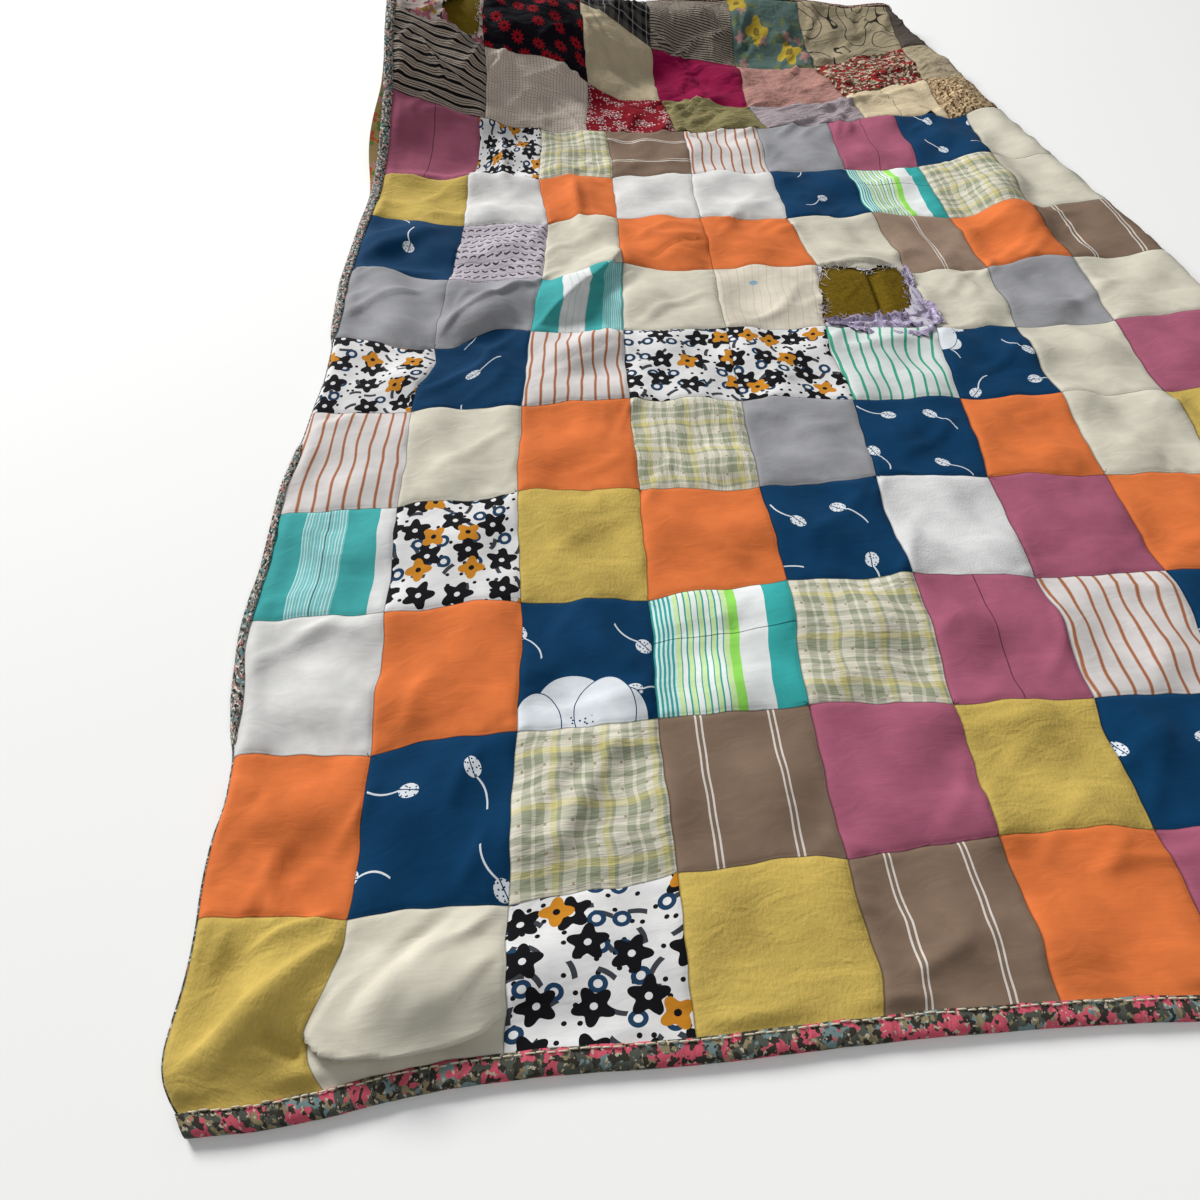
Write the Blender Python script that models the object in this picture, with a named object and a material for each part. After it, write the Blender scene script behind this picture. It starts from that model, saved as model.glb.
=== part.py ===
"""Patchwork quilt laid out with its far left corner bunched up and its right side turned under.

The quilt is one flat cloth with two measures: s runs across it from its left edge and t runs along
it from its near edge. surface() lays that cloth out, and every piece is built on it.
"""

import math

import bpy
import numpy as np

# The cloth as it was cut and sewn, in metres.
QUILT_WIDTH = 1.520
QUILT_LENGTH = 2.210
THICKNESS = 0.005
HALF = THICKNESS / 2

# The binding is one layer of cloth folded round the raw edge.
BINDING_THICKNESS = 0.0010
BINDING_LINE = 0.018
GAP = 0.0010
BINDING_WIDTH = BINDING_LINE - GAP
EDGE_LIFT = GAP + BINDING_THICKNESS
EDGE_EASE = 0.024

# The right side turns under along a soft roll, and the layers lie a little apart.
ROLL_RADIUS = 0.012
ROLL_LENGTH = math.pi * ROLL_RADIUS
LAYER_LIFT = 0.012
FLAP_STEP = 0.070
ROLL_EASE = 0.100

# Torn places show the blanket between the top and the backing.
HOLE_DEPTH = 0.0032
FILLING_THICKNESS = 0.0012
FILLING_DROP = 0.0009

# Mesh density: cells across the top layer, round the roll, on the flap, and along the quilt.
TOP_CELLS = 31
ROLL_CELLS = 5
FLAP_CELLS = 5
LONG_CELLS = 50
SHARP_ANGLE = math.radians(50.0)

# Tables are read with their corners rounded over this much either way.
ROUNDING = 0.045

# Where the outer edge strays from a straight line, in metres.
LEFT_EDGE = (
    # t      inwards
    (0.00, 0.066),
    (0.05, 0.034),
    (0.12, 0.026),
    (0.29, 0.016),
    (0.45, -0.004),
    (0.56, 0.000),
    (0.68, -0.010),
    (0.83, 0.000),
    (0.98, 0.013),
    (1.15, 0.004),
    (1.33, 0.012),
    (1.46, 0.024),
    (1.66, 0.034),
    (2.21, 0.030),
)
LEFT_REACH = 0.300
NEAR_EDGE = (
    # s      onwards
    (0.00, -0.034),
    (0.10, -0.028),
    (0.20, -0.012),
    (0.33, 0.000),
    (0.46, 0.002),
    (0.62, 0.014),
    (0.80, 0.020),
    (1.20, 0.014),
    (1.52, 0.006),
)
NEAR_REACH = 0.700

# Where the roll's outer face stands, for each place along the quilt.
FOLD_LINE = (
    # t      x
    (0.00, 1.452),
    (0.80, 1.400),
    (1.20, 1.345),
    (1.53, 1.280),
    (1.75, 1.240),
    (1.93, 1.220),
    (2.08, 1.180),
    (2.21, 1.142),
)

# The swell across the far end: it rises from foot to crest and drops to the far edge.
LEAST_DROP_RUN = 0.120
SWELL = (
    # x     foot   crest  height edge
    (0.00, 1.360, 1.920, 0.182, 0.000),
    (0.20, 1.500, 1.980, 0.150, 0.000),
    (0.40, 1.700, 2.050, 0.112, 0.020),
    (0.57, 1.900, 2.100, 0.076, 0.052),
    (0.74, 1.980, 2.150, 0.053, 0.053),
    (0.92, 2.000, 2.190, 0.041, 0.041),
    (1.08, 2.020, 2.200, 0.020, 0.020),
    (1.25, 2.040, 2.200, 0.008, 0.008),
)

# Soft ridges of the top layer. They die away towards its left and near edges.
RIDGE_MARGIN = 0.080
RIDGES = (
    # x      y     turn   half_long half_wide height
    (0.095, 0.050, 44.0, 0.120, 0.055, 0.018),
    (0.215, 0.062, 4.0, 0.130, 0.050, 0.020),
    (0.350, 0.240, 56.0, 0.130, 0.060, 0.008),
    (0.640, 0.430, 3.0, 0.160, 0.055, 0.007),
    (0.250, 1.050, 42.0, 0.150, 0.060, 0.020),
    (0.110, 1.060, -50.0, 0.120, 0.060, 0.014),
    (0.090, 1.270, 24.0, 0.140, 0.060, 0.016),
    (0.385, 1.120, 53.0, 0.150, 0.055, 0.018),
    (0.370, 0.930, 33.0, 0.130, 0.050, 0.010),
    (0.570, 1.260, 40.0, 0.130, 0.060, 0.010),
    (1.145, 1.360, 90.0, 0.340, 0.070, 0.022),
    (0.700, 1.930, -62.0, 0.150, 0.060, 0.014),
)

# Outlines of the torn places and of what is left round them, as (s, t) round a middle.
MIDDLE_HOLE = (
    # s      t
    (0.777, 1.034),
    (0.808, 1.031),
    (0.838, 1.036),
    (0.866, 1.028),
    (0.890, 1.024),
    (0.908, 1.040),
    (0.913, 1.072),
    (0.911, 1.104),
    (0.916, 1.136),
    (0.911, 1.160),
    (0.884, 1.158),
    (0.858, 1.163),
    (0.828, 1.170),
    (0.798, 1.163),
    (0.786, 1.136),
    (0.787, 1.098),
    (0.779, 1.064),
)
FAR_HOLE = (
    # s      t
    (0.122, 1.842),
    (0.150, 1.836),
    (0.186, 1.828),
    (0.198, 1.850),
    (0.197, 1.895),
    (0.200, 1.940),
    (0.186, 1.966),
    (0.166, 1.952),
    (0.148, 1.922),
    (0.124, 1.900),
    (0.112, 1.872),
)
REMNANT = (
    # s      t
    (0.786, 1.014),
    (0.800, 0.990),
    (0.832, 0.972),
    (0.868, 0.966),
    (0.905, 0.968),
    (0.934, 0.984),
    (0.946, 1.018),
    (0.944, 1.060),
    (0.936, 1.098),
    (0.926, 1.076),
    (0.922, 1.040),
    (0.902, 1.014),
    (0.868, 1.018),
    (0.834, 1.024),
    (0.806, 1.022),
)
REMNANT_THICKNESS = 0.0012
PATCH_RINGS = (0.5, 1.0)
CUTTER_TOP = 0.020

# The backing has come loose under the left edge and peeps out beyond the binding.
BACKING_FROM = 1.40
BACKING_TO = 1.72
BACKING_REACH = 0.020
BACKING_ENDS = 0.003
BACKING_THICKNESS = 0.0010

# Colours as (red, green, blue), with the roughness of each cloth.
FINISHES = {
    "patchwork": ((0.62, 0.47, 0.30), 0.85),
    "near_binding": ((0.42, 0.28, 0.26), 0.85),
    "left_binding": ((0.22, 0.20, 0.18), 0.85),
    "far_binding": ((0.20, 0.07, 0.06), 0.85),
    "right_binding": ((0.22, 0.20, 0.18), 0.85),
    "olive_blanket": ((0.15, 0.11, 0.012), 0.95),
    "lilac_remnant": ((0.46, 0.38, 0.55), 0.90),
    "printed_backing": ((0.55, 0.25, 0.12), 0.85),
}


def clear_scene():
    """Remove every object that the file opened with."""
    for thing in list(bpy.data.objects):
        bpy.data.objects.remove(thing, do_unlink=True)


def ease(value):
    """Run smoothly from 0 to 1 as value runs from 0 to 1."""
    held = np.clip(value, 0.0, 1.0)
    return 0.5 - 0.5 * np.cos(math.pi * held)


def bump(value):
    """Stand at 1 where value is 0 and run smoothly down to 0 where it is 1 or more either way."""
    return 1.0 - ease(np.abs(value))


def read_table(table, column, at):
    """One column of a table at the places asked for: straight from row to row, with its corners rounded."""
    rows = np.array(table)
    near = np.interp(at - ROUNDING, rows[:, 0], rows[:, column])
    here = np.interp(at, rows[:, 0], rows[:, column])
    far = np.interp(at + ROUNDING, rows[:, 0], rows[:, column])
    return (near + here + far) / 3.0


def roll_start(t):
    """How far across the cloth the roll begins."""
    return read_table(FOLD_LINE, 1, t) - ROLL_RADIUS


def swell_height(x, y):
    """The rise across the far end: up from foot to crest, then down to the far edge."""
    foot = read_table(SWELL, 1, x)
    crest = read_table(SWELL, 2, x)
    height = read_table(SWELL, 3, x)
    edge = read_table(SWELL, 4, x)
    run = np.maximum(QUILT_LENGTH - crest, LEAST_DROP_RUN)
    near_side = height * ease((y - foot) / (crest - foot))
    far_side = height - (height - edge) * ease((y - crest) / run)
    return np.where(y < crest, near_side, far_side)


def ridge_height(x, y):
    """The sum of the soft ridges, each a bump along its run and a bump across it."""
    total = np.zeros_like(x)
    for ridge_x, ridge_y, turn, half_long, half_wide, height in RIDGES:
        along_x = math.cos(math.radians(turn))
        along_y = math.sin(math.radians(turn))
        along = (x - ridge_x) * along_x + (y - ridge_y) * along_y
        across = (y - ridge_y) * along_x - (x - ridge_x) * along_y
        total = total + height * bump(along / half_long) * bump(across / half_wide)
    return total


def edge_lift(s, t):
    """The cloth stands one binding layer up along its edges, so that the binding meets the surface."""
    nearest = np.minimum(np.minimum(s, QUILT_WIDTH - s), np.minimum(t, QUILT_LENGTH - t))
    return EDGE_LIFT * (1.0 - ease((nearest - BINDING_LINE) / EDGE_EASE))


def surface(s, t):
    """The middle of the cloth at (s, t), as an array with x, y and z last.

    x follows s on the top layer, goes round a half circle on the roll, and runs back on the flap.
    """
    s, t = np.broadcast_arrays(np.asarray(s, float), np.asarray(t, float))
    start = roll_start(t)
    past = s - start
    angle = np.clip(past / ROLL_RADIUS, 0.0, math.pi)
    flap = np.maximum(past - ROLL_LENGTH, 0.0)
    flat_x = np.minimum(s, start) + ROLL_RADIUS * np.sin(angle) - flap
    x = flat_x + read_table(LEFT_EDGE, 1, t) * (1.0 - ease(s / LEFT_REACH))
    y = t + read_table(NEAR_EDGE, 1, flat_x) * (1.0 - ease(t / NEAR_REACH))

    flap_edge = 2.0 * start + ROLL_LENGTH - QUILT_WIDTH
    over_flap = LAYER_LIFT * ease((flat_x - flap_edge + FLAP_STEP) / FLAP_STEP)
    to_roll = (2.0 * ROLL_RADIUS - LAYER_LIFT) * ease((flat_x - start + ROLL_EASE) / ROLL_EASE)
    inside = ease(np.minimum(s, t) / RIDGE_MARGIN) * ease((start - s) / RIDGE_MARGIN)
    top_layer = over_flap + to_roll + inside * ridge_height(x, y)
    under = ROLL_RADIUS * (1.0 + np.cos(angle))
    lift = np.where(past < 0.0, top_layer, under)
    z = HALF + lift + swell_height(x, y) + edge_lift(s, t)
    return np.stack((x, y, z), axis=-1)


def normals(s, t, step=0.0005):
    """Unit vectors square to the cloth, from its slopes in s and t."""
    across = surface(s + step, t) - surface(s - step, t)
    along = surface(s, t + step) - surface(s, t - step)
    square = np.cross(across, along)
    return square / np.linalg.norm(square, axis=-1, keepdims=True)


def offset_surface(s, t, distance):
    """Points at a distance above the middle of the cloth, and none below the surface it lies on."""
    points = surface(s, t) + normals(s, t) * distance
    points[..., 2] = np.maximum(points[..., 2], 0.0)
    return points


def across_lines():
    """Grid lines along s for every t: the binding's line, then the top layer, the roll and the flap."""
    t = along_lines()
    start = roll_start(t)[:, None]
    top = BINDING_LINE + (start - BINDING_LINE) * np.linspace(0.0, 1.0, TOP_CELLS + 1)[None, :]
    roll = start + ROLL_LENGTH * np.linspace(0.0, 1.0, ROLL_CELLS + 1)[None, 1:]
    flap_start = start + ROLL_LENGTH
    flap_end = QUILT_WIDTH - BINDING_LINE
    flap = flap_start + (flap_end - flap_start) * np.linspace(0.0, 1.0, FLAP_CELLS + 1)[None, 1:]
    first = np.zeros_like(start)
    last = np.full_like(start, QUILT_WIDTH)
    return np.hstack((first, top, roll, flap, last))


def along_lines():
    """Grid lines along t, with one at each binding's inner edge."""
    inner = np.linspace(BINDING_LINE, QUILT_LENGTH - BINDING_LINE, LONG_CELLS + 1)
    return np.concatenate(([0.0], inner, [QUILT_LENGTH]))


def closed_tube(rings):
    """Faces of a tube through rings of corners, with flat caps: rings has shape (stations, corners, 3)."""
    stations, corners = rings.shape[:2]
    index = np.arange(stations * corners).reshape(stations, corners)
    turned = np.roll(index, -1, axis=1)
    sides = np.stack((index[:-1], index[1:], turned[1:], turned[:-1]), axis=-1).reshape(-1, 4)
    return sides.tolist(), index[0].tolist(), index[-1][::-1].tolist()


def make_material(name):
    """A Principled material with the colour and roughness from FINISHES."""
    colour, roughness = FINISHES[name]
    material = bpy.data.materials.new(name)
    material.use_nodes = True
    shader = material.node_tree.nodes["Principled BSDF"]
    shader.inputs["Base Color"].default_value = (*colour, 1.0)
    shader.inputs["Roughness"].default_value = roughness
    shader.inputs["Metallic"].default_value = 0.0
    return material


def make_object(name, points, faces, finish):
    """A named mesh object with its own material."""
    mesh = bpy.data.meshes.new(name)
    mesh.from_pydata(points.reshape(-1, 3).tolist(), [], faces)
    mesh.shade_smooth()
    mesh.set_sharp_from_angle(angle=SHARP_ANGLE)
    thing = bpy.data.objects.new(name, mesh)
    bpy.context.scene.collection.objects.link(thing)
    if finish:
        mesh.materials.append(make_material(finish))
    return thing


def make_body():
    """The sewn quilt as one solid: an upper and a lower grid joined round the rim."""
    s = across_lines()
    t = np.broadcast_to(along_lines()[:, None], s.shape)
    upper = offset_surface(s, t, HALF)
    lower = offset_surface(s, t, -HALF)
    rows, columns = s.shape
    top = np.arange(rows * columns).reshape(rows, columns)
    base = top + rows * columns
    quads = [np.stack((top[:-1, :-1], top[:-1, 1:], top[1:, 1:], top[1:, :-1]), axis=-1)]
    quads.append(np.stack((base[:-1, :-1], base[1:, :-1], base[1:, 1:], base[:-1, 1:]), axis=-1))
    rim = np.concatenate((top[0, :-1], top[:-1, -1], top[-1, :0:-1], top[:0:-1, 0]))
    below = rim + rows * columns
    quads.append(np.stack((rim, below, np.roll(below, -1), np.roll(rim, -1)), axis=-1))
    faces = np.concatenate([quad.reshape(-1, 4) for quad in quads]).tolist()
    points = np.concatenate((upper.reshape(-1, 3), lower.reshape(-1, 3)))
    return make_object("quilt_body", points, faces, "patchwork")


def make_binding(name, edge_s, edge_t, inner_s, inner_t, finish, reverse):
    """A C-shaped strip carried along an edge: over the top, round the raw edge and back underneath."""
    edge = surface(edge_s, edge_t)
    inward = (surface(inner_s, inner_t) - edge) / BINDING_LINE
    edge_up = normals(edge_s, edge_t)
    inner_up = normals(inner_s, inner_t)
    near = HALF + GAP
    far = near + BINDING_THICKNESS
    back = -GAP
    outer = -GAP - BINDING_THICKNESS
    section = (
        # inwards        up
        (BINDING_WIDTH, near),
        (BINDING_WIDTH, far),
        (outer, far),
        (outer, -far),
        (BINDING_WIDTH, -far),
        (BINDING_WIDTH, -near),
        (back, -near),
        (back, near),
    )
    rings = []
    for reach, height in section:
        share = max(reach, 0.0) / BINDING_LINE
        up = edge_up + (inner_up - edge_up) * share
        rings.append(edge + inward * reach + up * height)
    rings = np.stack(rings, axis=1)
    rings[..., 2] = np.maximum(rings[..., 2], 0.0)
    if reverse:
        rings = rings[::-1]
    sides, first, last = closed_tube(rings)
    return make_object(name, rings, sides + [first, last], finish)


def make_bindings():
    """Four strips: near and far run the whole width, and left and right fit between them."""
    s = across_lines()
    t = np.broadcast_to(along_lines()[:, None], s.shape)
    make_binding("binding_near", s[0], t[0], s[1], t[1], "near_binding", True)
    make_binding("binding_far", s[-1], t[-1], s[-2], t[-2], "far_binding", False)
    s, t = s[1:-1], t[1:-1]
    make_binding("binding_left", s[:, 0], t[:, 0], s[:, 1], t[:, 1], "left_binding", False)
    make_binding("binding_right", s[:, -1], t[:, -1], s[:, -2], t[:, -2], "right_binding", True)


def make_patch(name, outline, inset, low, high, finish):
    """A thin plate with an uneven outline that lies between two distances from the middle of the cloth."""
    ring = np.array(outline)
    middle = ring.mean(axis=0)
    away = ring - middle
    away *= 1.0 - inset / np.linalg.norm(away, axis=1, keepdims=True)
    corners = len(ring)
    flat = np.concatenate([middle[None, :]] + [middle + away * share for share in PATCH_RINGS])
    upper = offset_surface(flat[:, 0], flat[:, 1], high)
    lower = offset_surface(flat[:, 0], flat[:, 1], low)
    inner = np.arange(corners) + 1
    outer = inner + corners
    inner_next = np.roll(inner, -1)
    outer_next = np.roll(outer, -1)
    below = len(flat)
    faces = [[0, a, b] for a, b in zip(inner, inner_next)]
    faces += np.stack((inner, outer, outer_next, inner_next), axis=-1).tolist()
    faces += [[below + corner for corner in reversed(face)] for face in faces]
    faces += np.stack((outer, outer + below, outer_next + below, outer_next), axis=-1).tolist()
    return make_object(name, np.concatenate((upper, lower)), faces, finish)


def make_torn_places(body):
    """Cut each torn place out of the top and lay the blanket inside it, then the torn patch's remnant."""
    floor_level = HALF - HOLE_DEPTH
    blanket_top = HALF - FILLING_DROP
    for name, outline in (("middle", MIDDLE_HOLE), ("far", FAR_HOLE)):
        cutter = make_patch(f"cutter_{name}", outline, 0.0, floor_level, HALF + CUTTER_TOP, None)
        cutter.hide_render = True
        cutter.display_type = "WIRE"
        cut = body.modifiers.new(f"torn_{name}", "BOOLEAN")
        cut.operation = "DIFFERENCE"
        cut.solver = "EXACT"
        cut.object = cutter
        blanket_base = blanket_top - FILLING_THICKNESS
        make_patch(f"filling_{name}", outline, GAP, blanket_base, blanket_top, "olive_blanket")
    base = HALF + GAP
    make_patch("torn_remnant", REMNANT, 0.0, base, base + REMNANT_THICKNESS, "lilac_remnant")


def make_backing_edge():
    """A narrow leaf of the backing that stands out past the left binding, widest at its middle."""
    t = along_lines()
    t = t[(t > BACKING_FROM) & (t < BACKING_TO)]
    edge = surface(0.0, t)
    inward = (surface(BINDING_LINE, t) - edge) / BINDING_LINE
    up = normals(np.zeros_like(t), t)
    hidden = -EDGE_LIFT - GAP
    swell = bump(2.0 * (t - t.mean()) / (BACKING_TO - BACKING_FROM))
    reach = hidden - BACKING_ENDS - (BACKING_REACH - BACKING_ENDS) * swell
    low = -HALF
    high = low + BACKING_THICKNESS
    rings = []
    for start, height in ((hidden, low), (hidden, high)):
        rings.append(edge + inward * start + up * height)
    for height in (high, low):
        rings.append(edge + inward * reach[:, None] + up * height)
    rings = np.stack(rings, axis=1)
    rings[..., 2] = np.maximum(rings[..., 2], 0.0)
    sides, first, last = closed_tube(rings)
    return make_object("backing_edge", rings, sides + [first, last], "printed_backing")


def centre_on_origin():
    """Shift every mesh so that the middle of the whole box stands over the origin, on z = 0."""
    nodes = [thing for thing in bpy.data.objects if not thing.hide_render]
    corners = np.concatenate([[vertex.co[:] for vertex in thing.data.vertices] for thing in nodes])
    low = corners.min(axis=0)
    high = corners.max(axis=0)
    for thing in bpy.data.objects:
        thing.location = (-0.5 * (low[0] + high[0]), -0.5 * (low[1] + high[1]), -low[2])


clear_scene()
make_torn_places(make_body())
make_bindings()
make_backing_edge()
centre_on_origin()
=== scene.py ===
"""A patchwork quilt laid out on a pale floor, its far left corner bunched up and its right side turned under.

The quilt is one cloth with two measures: s runs across it from its left edge and t runs along it
from its near edge. lie() says where each point of that cloth is, and every piece is built on it.
"""

import math

import bpy
import numpy as np
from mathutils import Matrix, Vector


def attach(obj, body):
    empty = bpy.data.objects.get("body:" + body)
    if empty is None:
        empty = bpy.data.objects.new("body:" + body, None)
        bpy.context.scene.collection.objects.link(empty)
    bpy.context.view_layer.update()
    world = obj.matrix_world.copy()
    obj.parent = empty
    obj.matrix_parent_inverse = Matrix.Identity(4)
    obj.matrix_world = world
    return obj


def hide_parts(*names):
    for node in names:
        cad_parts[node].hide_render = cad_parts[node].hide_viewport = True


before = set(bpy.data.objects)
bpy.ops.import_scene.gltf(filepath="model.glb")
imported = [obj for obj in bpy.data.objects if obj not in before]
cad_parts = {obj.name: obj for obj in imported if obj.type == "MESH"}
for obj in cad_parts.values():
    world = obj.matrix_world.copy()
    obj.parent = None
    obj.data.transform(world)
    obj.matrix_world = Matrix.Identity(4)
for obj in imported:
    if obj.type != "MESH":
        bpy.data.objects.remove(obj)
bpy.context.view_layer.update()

# ---------------------------------------------------------------------------------------------
# The lie of the cloth. The quilt is sewn flat from patches and then laid down by hand: the near
# half lies nearly flat, the far left corner is bunched into a soft swell, and the right side is
# turned under along a soft roll. Its solid has the same lie, with the same tables.
QUILT_WIDTH = 1.520  # sizes are in metres, unless a name or a comment says mm
QUILT_LENGTH = 2.210
HALF = 0.0025  # from the middle of the cloth to either face
EDGE_LIFT = 0.0020  # the bound edges are thicker, so they lie a little higher
BINDING_LINE = 0.018  # from the edge to the binding's inner side
EDGE_EASE = 0.024
ROLL_RADIUS = 0.012
ROLL_LENGTH = math.pi * ROLL_RADIUS
LAYER_LIFT = 0.012  # of the top layer where it lies on the flap
FLAP_STEP = 0.070
ROLL_EASE = 0.100
ROUNDING = 0.045  # how far a table's corners are rounded
LEFT_ROUNDING = 0.012
LEAST_DROP_RUN = 0.120
RIDGE_MARGIN = 0.080
CORNER_TO_MIDDLE = np.array((0.72269, 1.08876, 0.0))  # from the near left corner to the row's origin
SLOPE_STEP = 0.0005
FLOOR_GAP = 0.0004  # how far above the floor the lowest cloth stays
BAKE_SPAN = (1.53, 2.22)  # a little more than the cloth, so that all of it lands on one tile

LEFT_REACH = 0.300
LEFT_EDGE = (
    # t      inwards
    (0.000, 0.058),
    (0.010, 0.048),
    (0.020, 0.038),
    (0.035, 0.026),
    (0.050, 0.0205),
    (0.070, 0.020),
    (0.090, 0.022),
    (0.105, 0.0235),
    (0.150, 0.0235),
    (0.190, 0.018),
    (0.240, 0.017),
    (0.265, 0.022),
    (0.320, 0.018),
    (0.355, 0.0085),
    (0.390, 0.0015),
    (0.427, -0.003),
    (0.452, -0.0065),
    (0.495, -0.0065),
    (0.545, -0.002),
    (0.620, -0.0035),
    (0.680, -0.0045),
    (0.760, 0.0055),
    (0.830, 0.0095),
    (0.900, 0.016),
    (0.980, 0.015),
    (1.020, 0.0095),
    (1.150, 0.004),
    (1.330, 0.012),
    (1.460, 0.023),
    (1.660, 0.034),
    (2.210, 0.030),
)
NEAR_REACH = 0.700
NEAR_EDGE = (
    # s      onwards
    (0.00, -0.034),
    (0.10, -0.028),
    (0.20, -0.012),
    (0.33, 0.000),
    (0.46, 0.002),
    (0.62, 0.014),
    (0.80, 0.020),
    (1.20, 0.014),
    (1.52, 0.006),
)
FOLD_LINE = (
    # t      x
    (0.00, 1.452),
    (0.80, 1.400),
    (1.20, 1.345),
    (1.53, 1.280),
    (1.75, 1.240),
    (1.93, 1.220),
    (2.08, 1.180),
    (2.21, 1.142),
)
SWELL = (
    # x     foot   crest  height edge
    (0.00, 1.360, 1.920, 0.182, 0.000),
    (0.20, 1.500, 1.980, 0.150, 0.000),
    (0.40, 1.700, 2.050, 0.112, 0.020),
    (0.57, 1.900, 2.100, 0.076, 0.052),
    (0.74, 1.980, 2.150, 0.053, 0.053),
    (0.92, 2.000, 2.190, 0.041, 0.041),
    (1.08, 2.020, 2.200, 0.020, 0.020),
    (1.25, 2.040, 2.200, 0.008, 0.008),
)
RIDGES = (
    # x      y     turn   half_long half_wide height
    (0.095, 0.050, 44.0, 0.120, 0.055, 0.018),
    (0.215, 0.062, 4.0, 0.130, 0.050, 0.020),
    (0.350, 0.240, 56.0, 0.130, 0.060, 0.008),
    (0.640, 0.430, 3.0, 0.160, 0.055, 0.007),
    (0.250, 1.050, 42.0, 0.150, 0.060, 0.020),
    (0.110, 1.060, -50.0, 0.120, 0.060, 0.014),
    (0.090, 1.270, 24.0, 0.140, 0.060, 0.016),
    (0.385, 1.120, 53.0, 0.150, 0.055, 0.018),
    (0.370, 0.930, 33.0, 0.130, 0.050, 0.010),
    (0.570, 1.260, 40.0, 0.130, 0.060, 0.010),
    (1.145, 1.360, 90.0, 0.340, 0.070, 0.022),
    (0.700, 1.930, -62.0, 0.150, 0.060, 0.014),
)


def ease(value):
    """Run smoothly from 0 to 1 as value runs from 0 to 1, as half a cosine wave."""
    held = np.clip(value, 0.0, 1.0)
    return 0.5 - 0.5 * np.cos(math.pi * held)


def bump(value):
    """Stand at 1 where value is 0 and run smoothly down to 0 where it is 1 or more either way."""
    return 1.0 - ease(np.abs(value))


def read_table(table, column, at, rounding=ROUNDING):
    """One column of a table at the places asked for: straight from row to row, corners rounded."""
    rows = np.array(table)
    shifts = (-rounding, 0.0, rounding)
    return sum(np.interp(at + shift, rows[:, 0], rows[:, column]) for shift in shifts) / 3.0


def swell_height(x, y):
    """The rise across the far end: up from foot to crest, then down to the far edge."""
    foot, crest, height, edge = (read_table(SWELL, column, x) for column in (1, 2, 3, 4))
    run = np.maximum(QUILT_LENGTH - crest, LEAST_DROP_RUN)
    near_side = height * ease((y - foot) / (crest - foot))
    far_side = height - (height - edge) * ease((y - crest) / run)
    return np.where(y < crest, near_side, far_side)


def ridge_height(x, y):
    """The sum of the soft ridges, each a bump along its run times a bump across it."""
    total = np.zeros_like(x)
    for ridge_x, ridge_y, turn, half_long, half_wide, height in RIDGES:
        along_x, along_y = math.cos(math.radians(turn)), math.sin(math.radians(turn))
        along = (x - ridge_x) * along_x + (y - ridge_y) * along_y
        across = (y - ridge_y) * along_x - (x - ridge_x) * along_y
        total = total + height * bump(along / half_long) * bump(across / half_wide)
    return total


def lie(s, t):
    """The middle of the cloth at (s, t), with x, y and z last and the corner of the cloth near (0, 0).

    x follows s on the top layer, goes round a half circle on the roll and runs back on the flap.
    """
    s, t = np.broadcast_arrays(np.asarray(s, float), np.asarray(t, float))
    start = read_table(FOLD_LINE, 1, t) - ROLL_RADIUS
    past = s - start
    angle = np.clip(past / ROLL_RADIUS, 0.0, math.pi)
    flap = np.maximum(past - ROLL_LENGTH, 0.0)
    flat_x = np.minimum(s, start) + ROLL_RADIUS * np.sin(angle) - flap
    x = flat_x + read_table(LEFT_EDGE, 1, t, LEFT_ROUNDING) * (1.0 - ease(s / LEFT_REACH))
    y = t + read_table(NEAR_EDGE, 1, flat_x) * (1.0 - ease(t / NEAR_REACH))

    flap_edge = 2.0 * start + ROLL_LENGTH - QUILT_WIDTH
    over_flap = LAYER_LIFT * ease((flat_x - flap_edge + FLAP_STEP) / FLAP_STEP)
    to_roll = (2.0 * ROLL_RADIUS - LAYER_LIFT) * ease((flat_x - start + ROLL_EASE) / ROLL_EASE)
    inside = ease(np.minimum(s, t) / RIDGE_MARGIN) * ease((start - s) / RIDGE_MARGIN)
    top_layer = over_flap + to_roll + inside * ridge_height(x, y)
    under = ROLL_RADIUS * (1.0 + np.cos(angle))
    nearest = np.minimum(np.minimum(s, QUILT_WIDTH - s), np.minimum(t, QUILT_LENGTH - t))
    rim = EDGE_LIFT * (1.0 - ease((nearest - BINDING_LINE) / EDGE_EASE))
    z = HALF + np.where(past < 0.0, top_layer, under) + swell_height(x, y) + rim
    return np.stack((x, y, z), axis=-1)


def square_to(s, t):
    """Unit vectors square to the cloth: the cross product of its slopes along s and along t."""
    across = lie(s + SLOPE_STEP, t) - lie(s - SLOPE_STEP, t)
    along = lie(s, t + SLOPE_STEP) - lie(s, t - SLOPE_STEP)
    square = np.cross(across, along)
    return square / np.linalg.norm(square, axis=-1, keepdims=True)


def on_cloth(s, t, distance, least=FLOOR_GAP):
    """Points at a distance above the middle of the cloth, over the floor, round the row's origin."""
    points = lie(s, t) + square_to(s, t) * np.asarray(distance)[..., None]
    points[..., 2] = np.maximum(points[..., 2], least)
    return points - CORNER_TO_MIDDLE


def sheet_faces(rows, columns):
    """Squares of a grid of points that is stored row by row."""
    index = np.arange(rows * columns).reshape(rows, columns)
    return np.stack((index[:-1, :-1], index[:-1, 1:], index[1:, 1:], index[1:, :-1]), axis=-1).reshape(-1, 4)


def corner_map(squares, across, along):
    """Each face corner's place on a map, from the two parts of it that each point of a grid has."""
    parts = [part.ravel() for part in np.broadcast_arrays(across, along)]
    return np.stack(parts, axis=-1)[squares].reshape(-1, 2)


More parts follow.
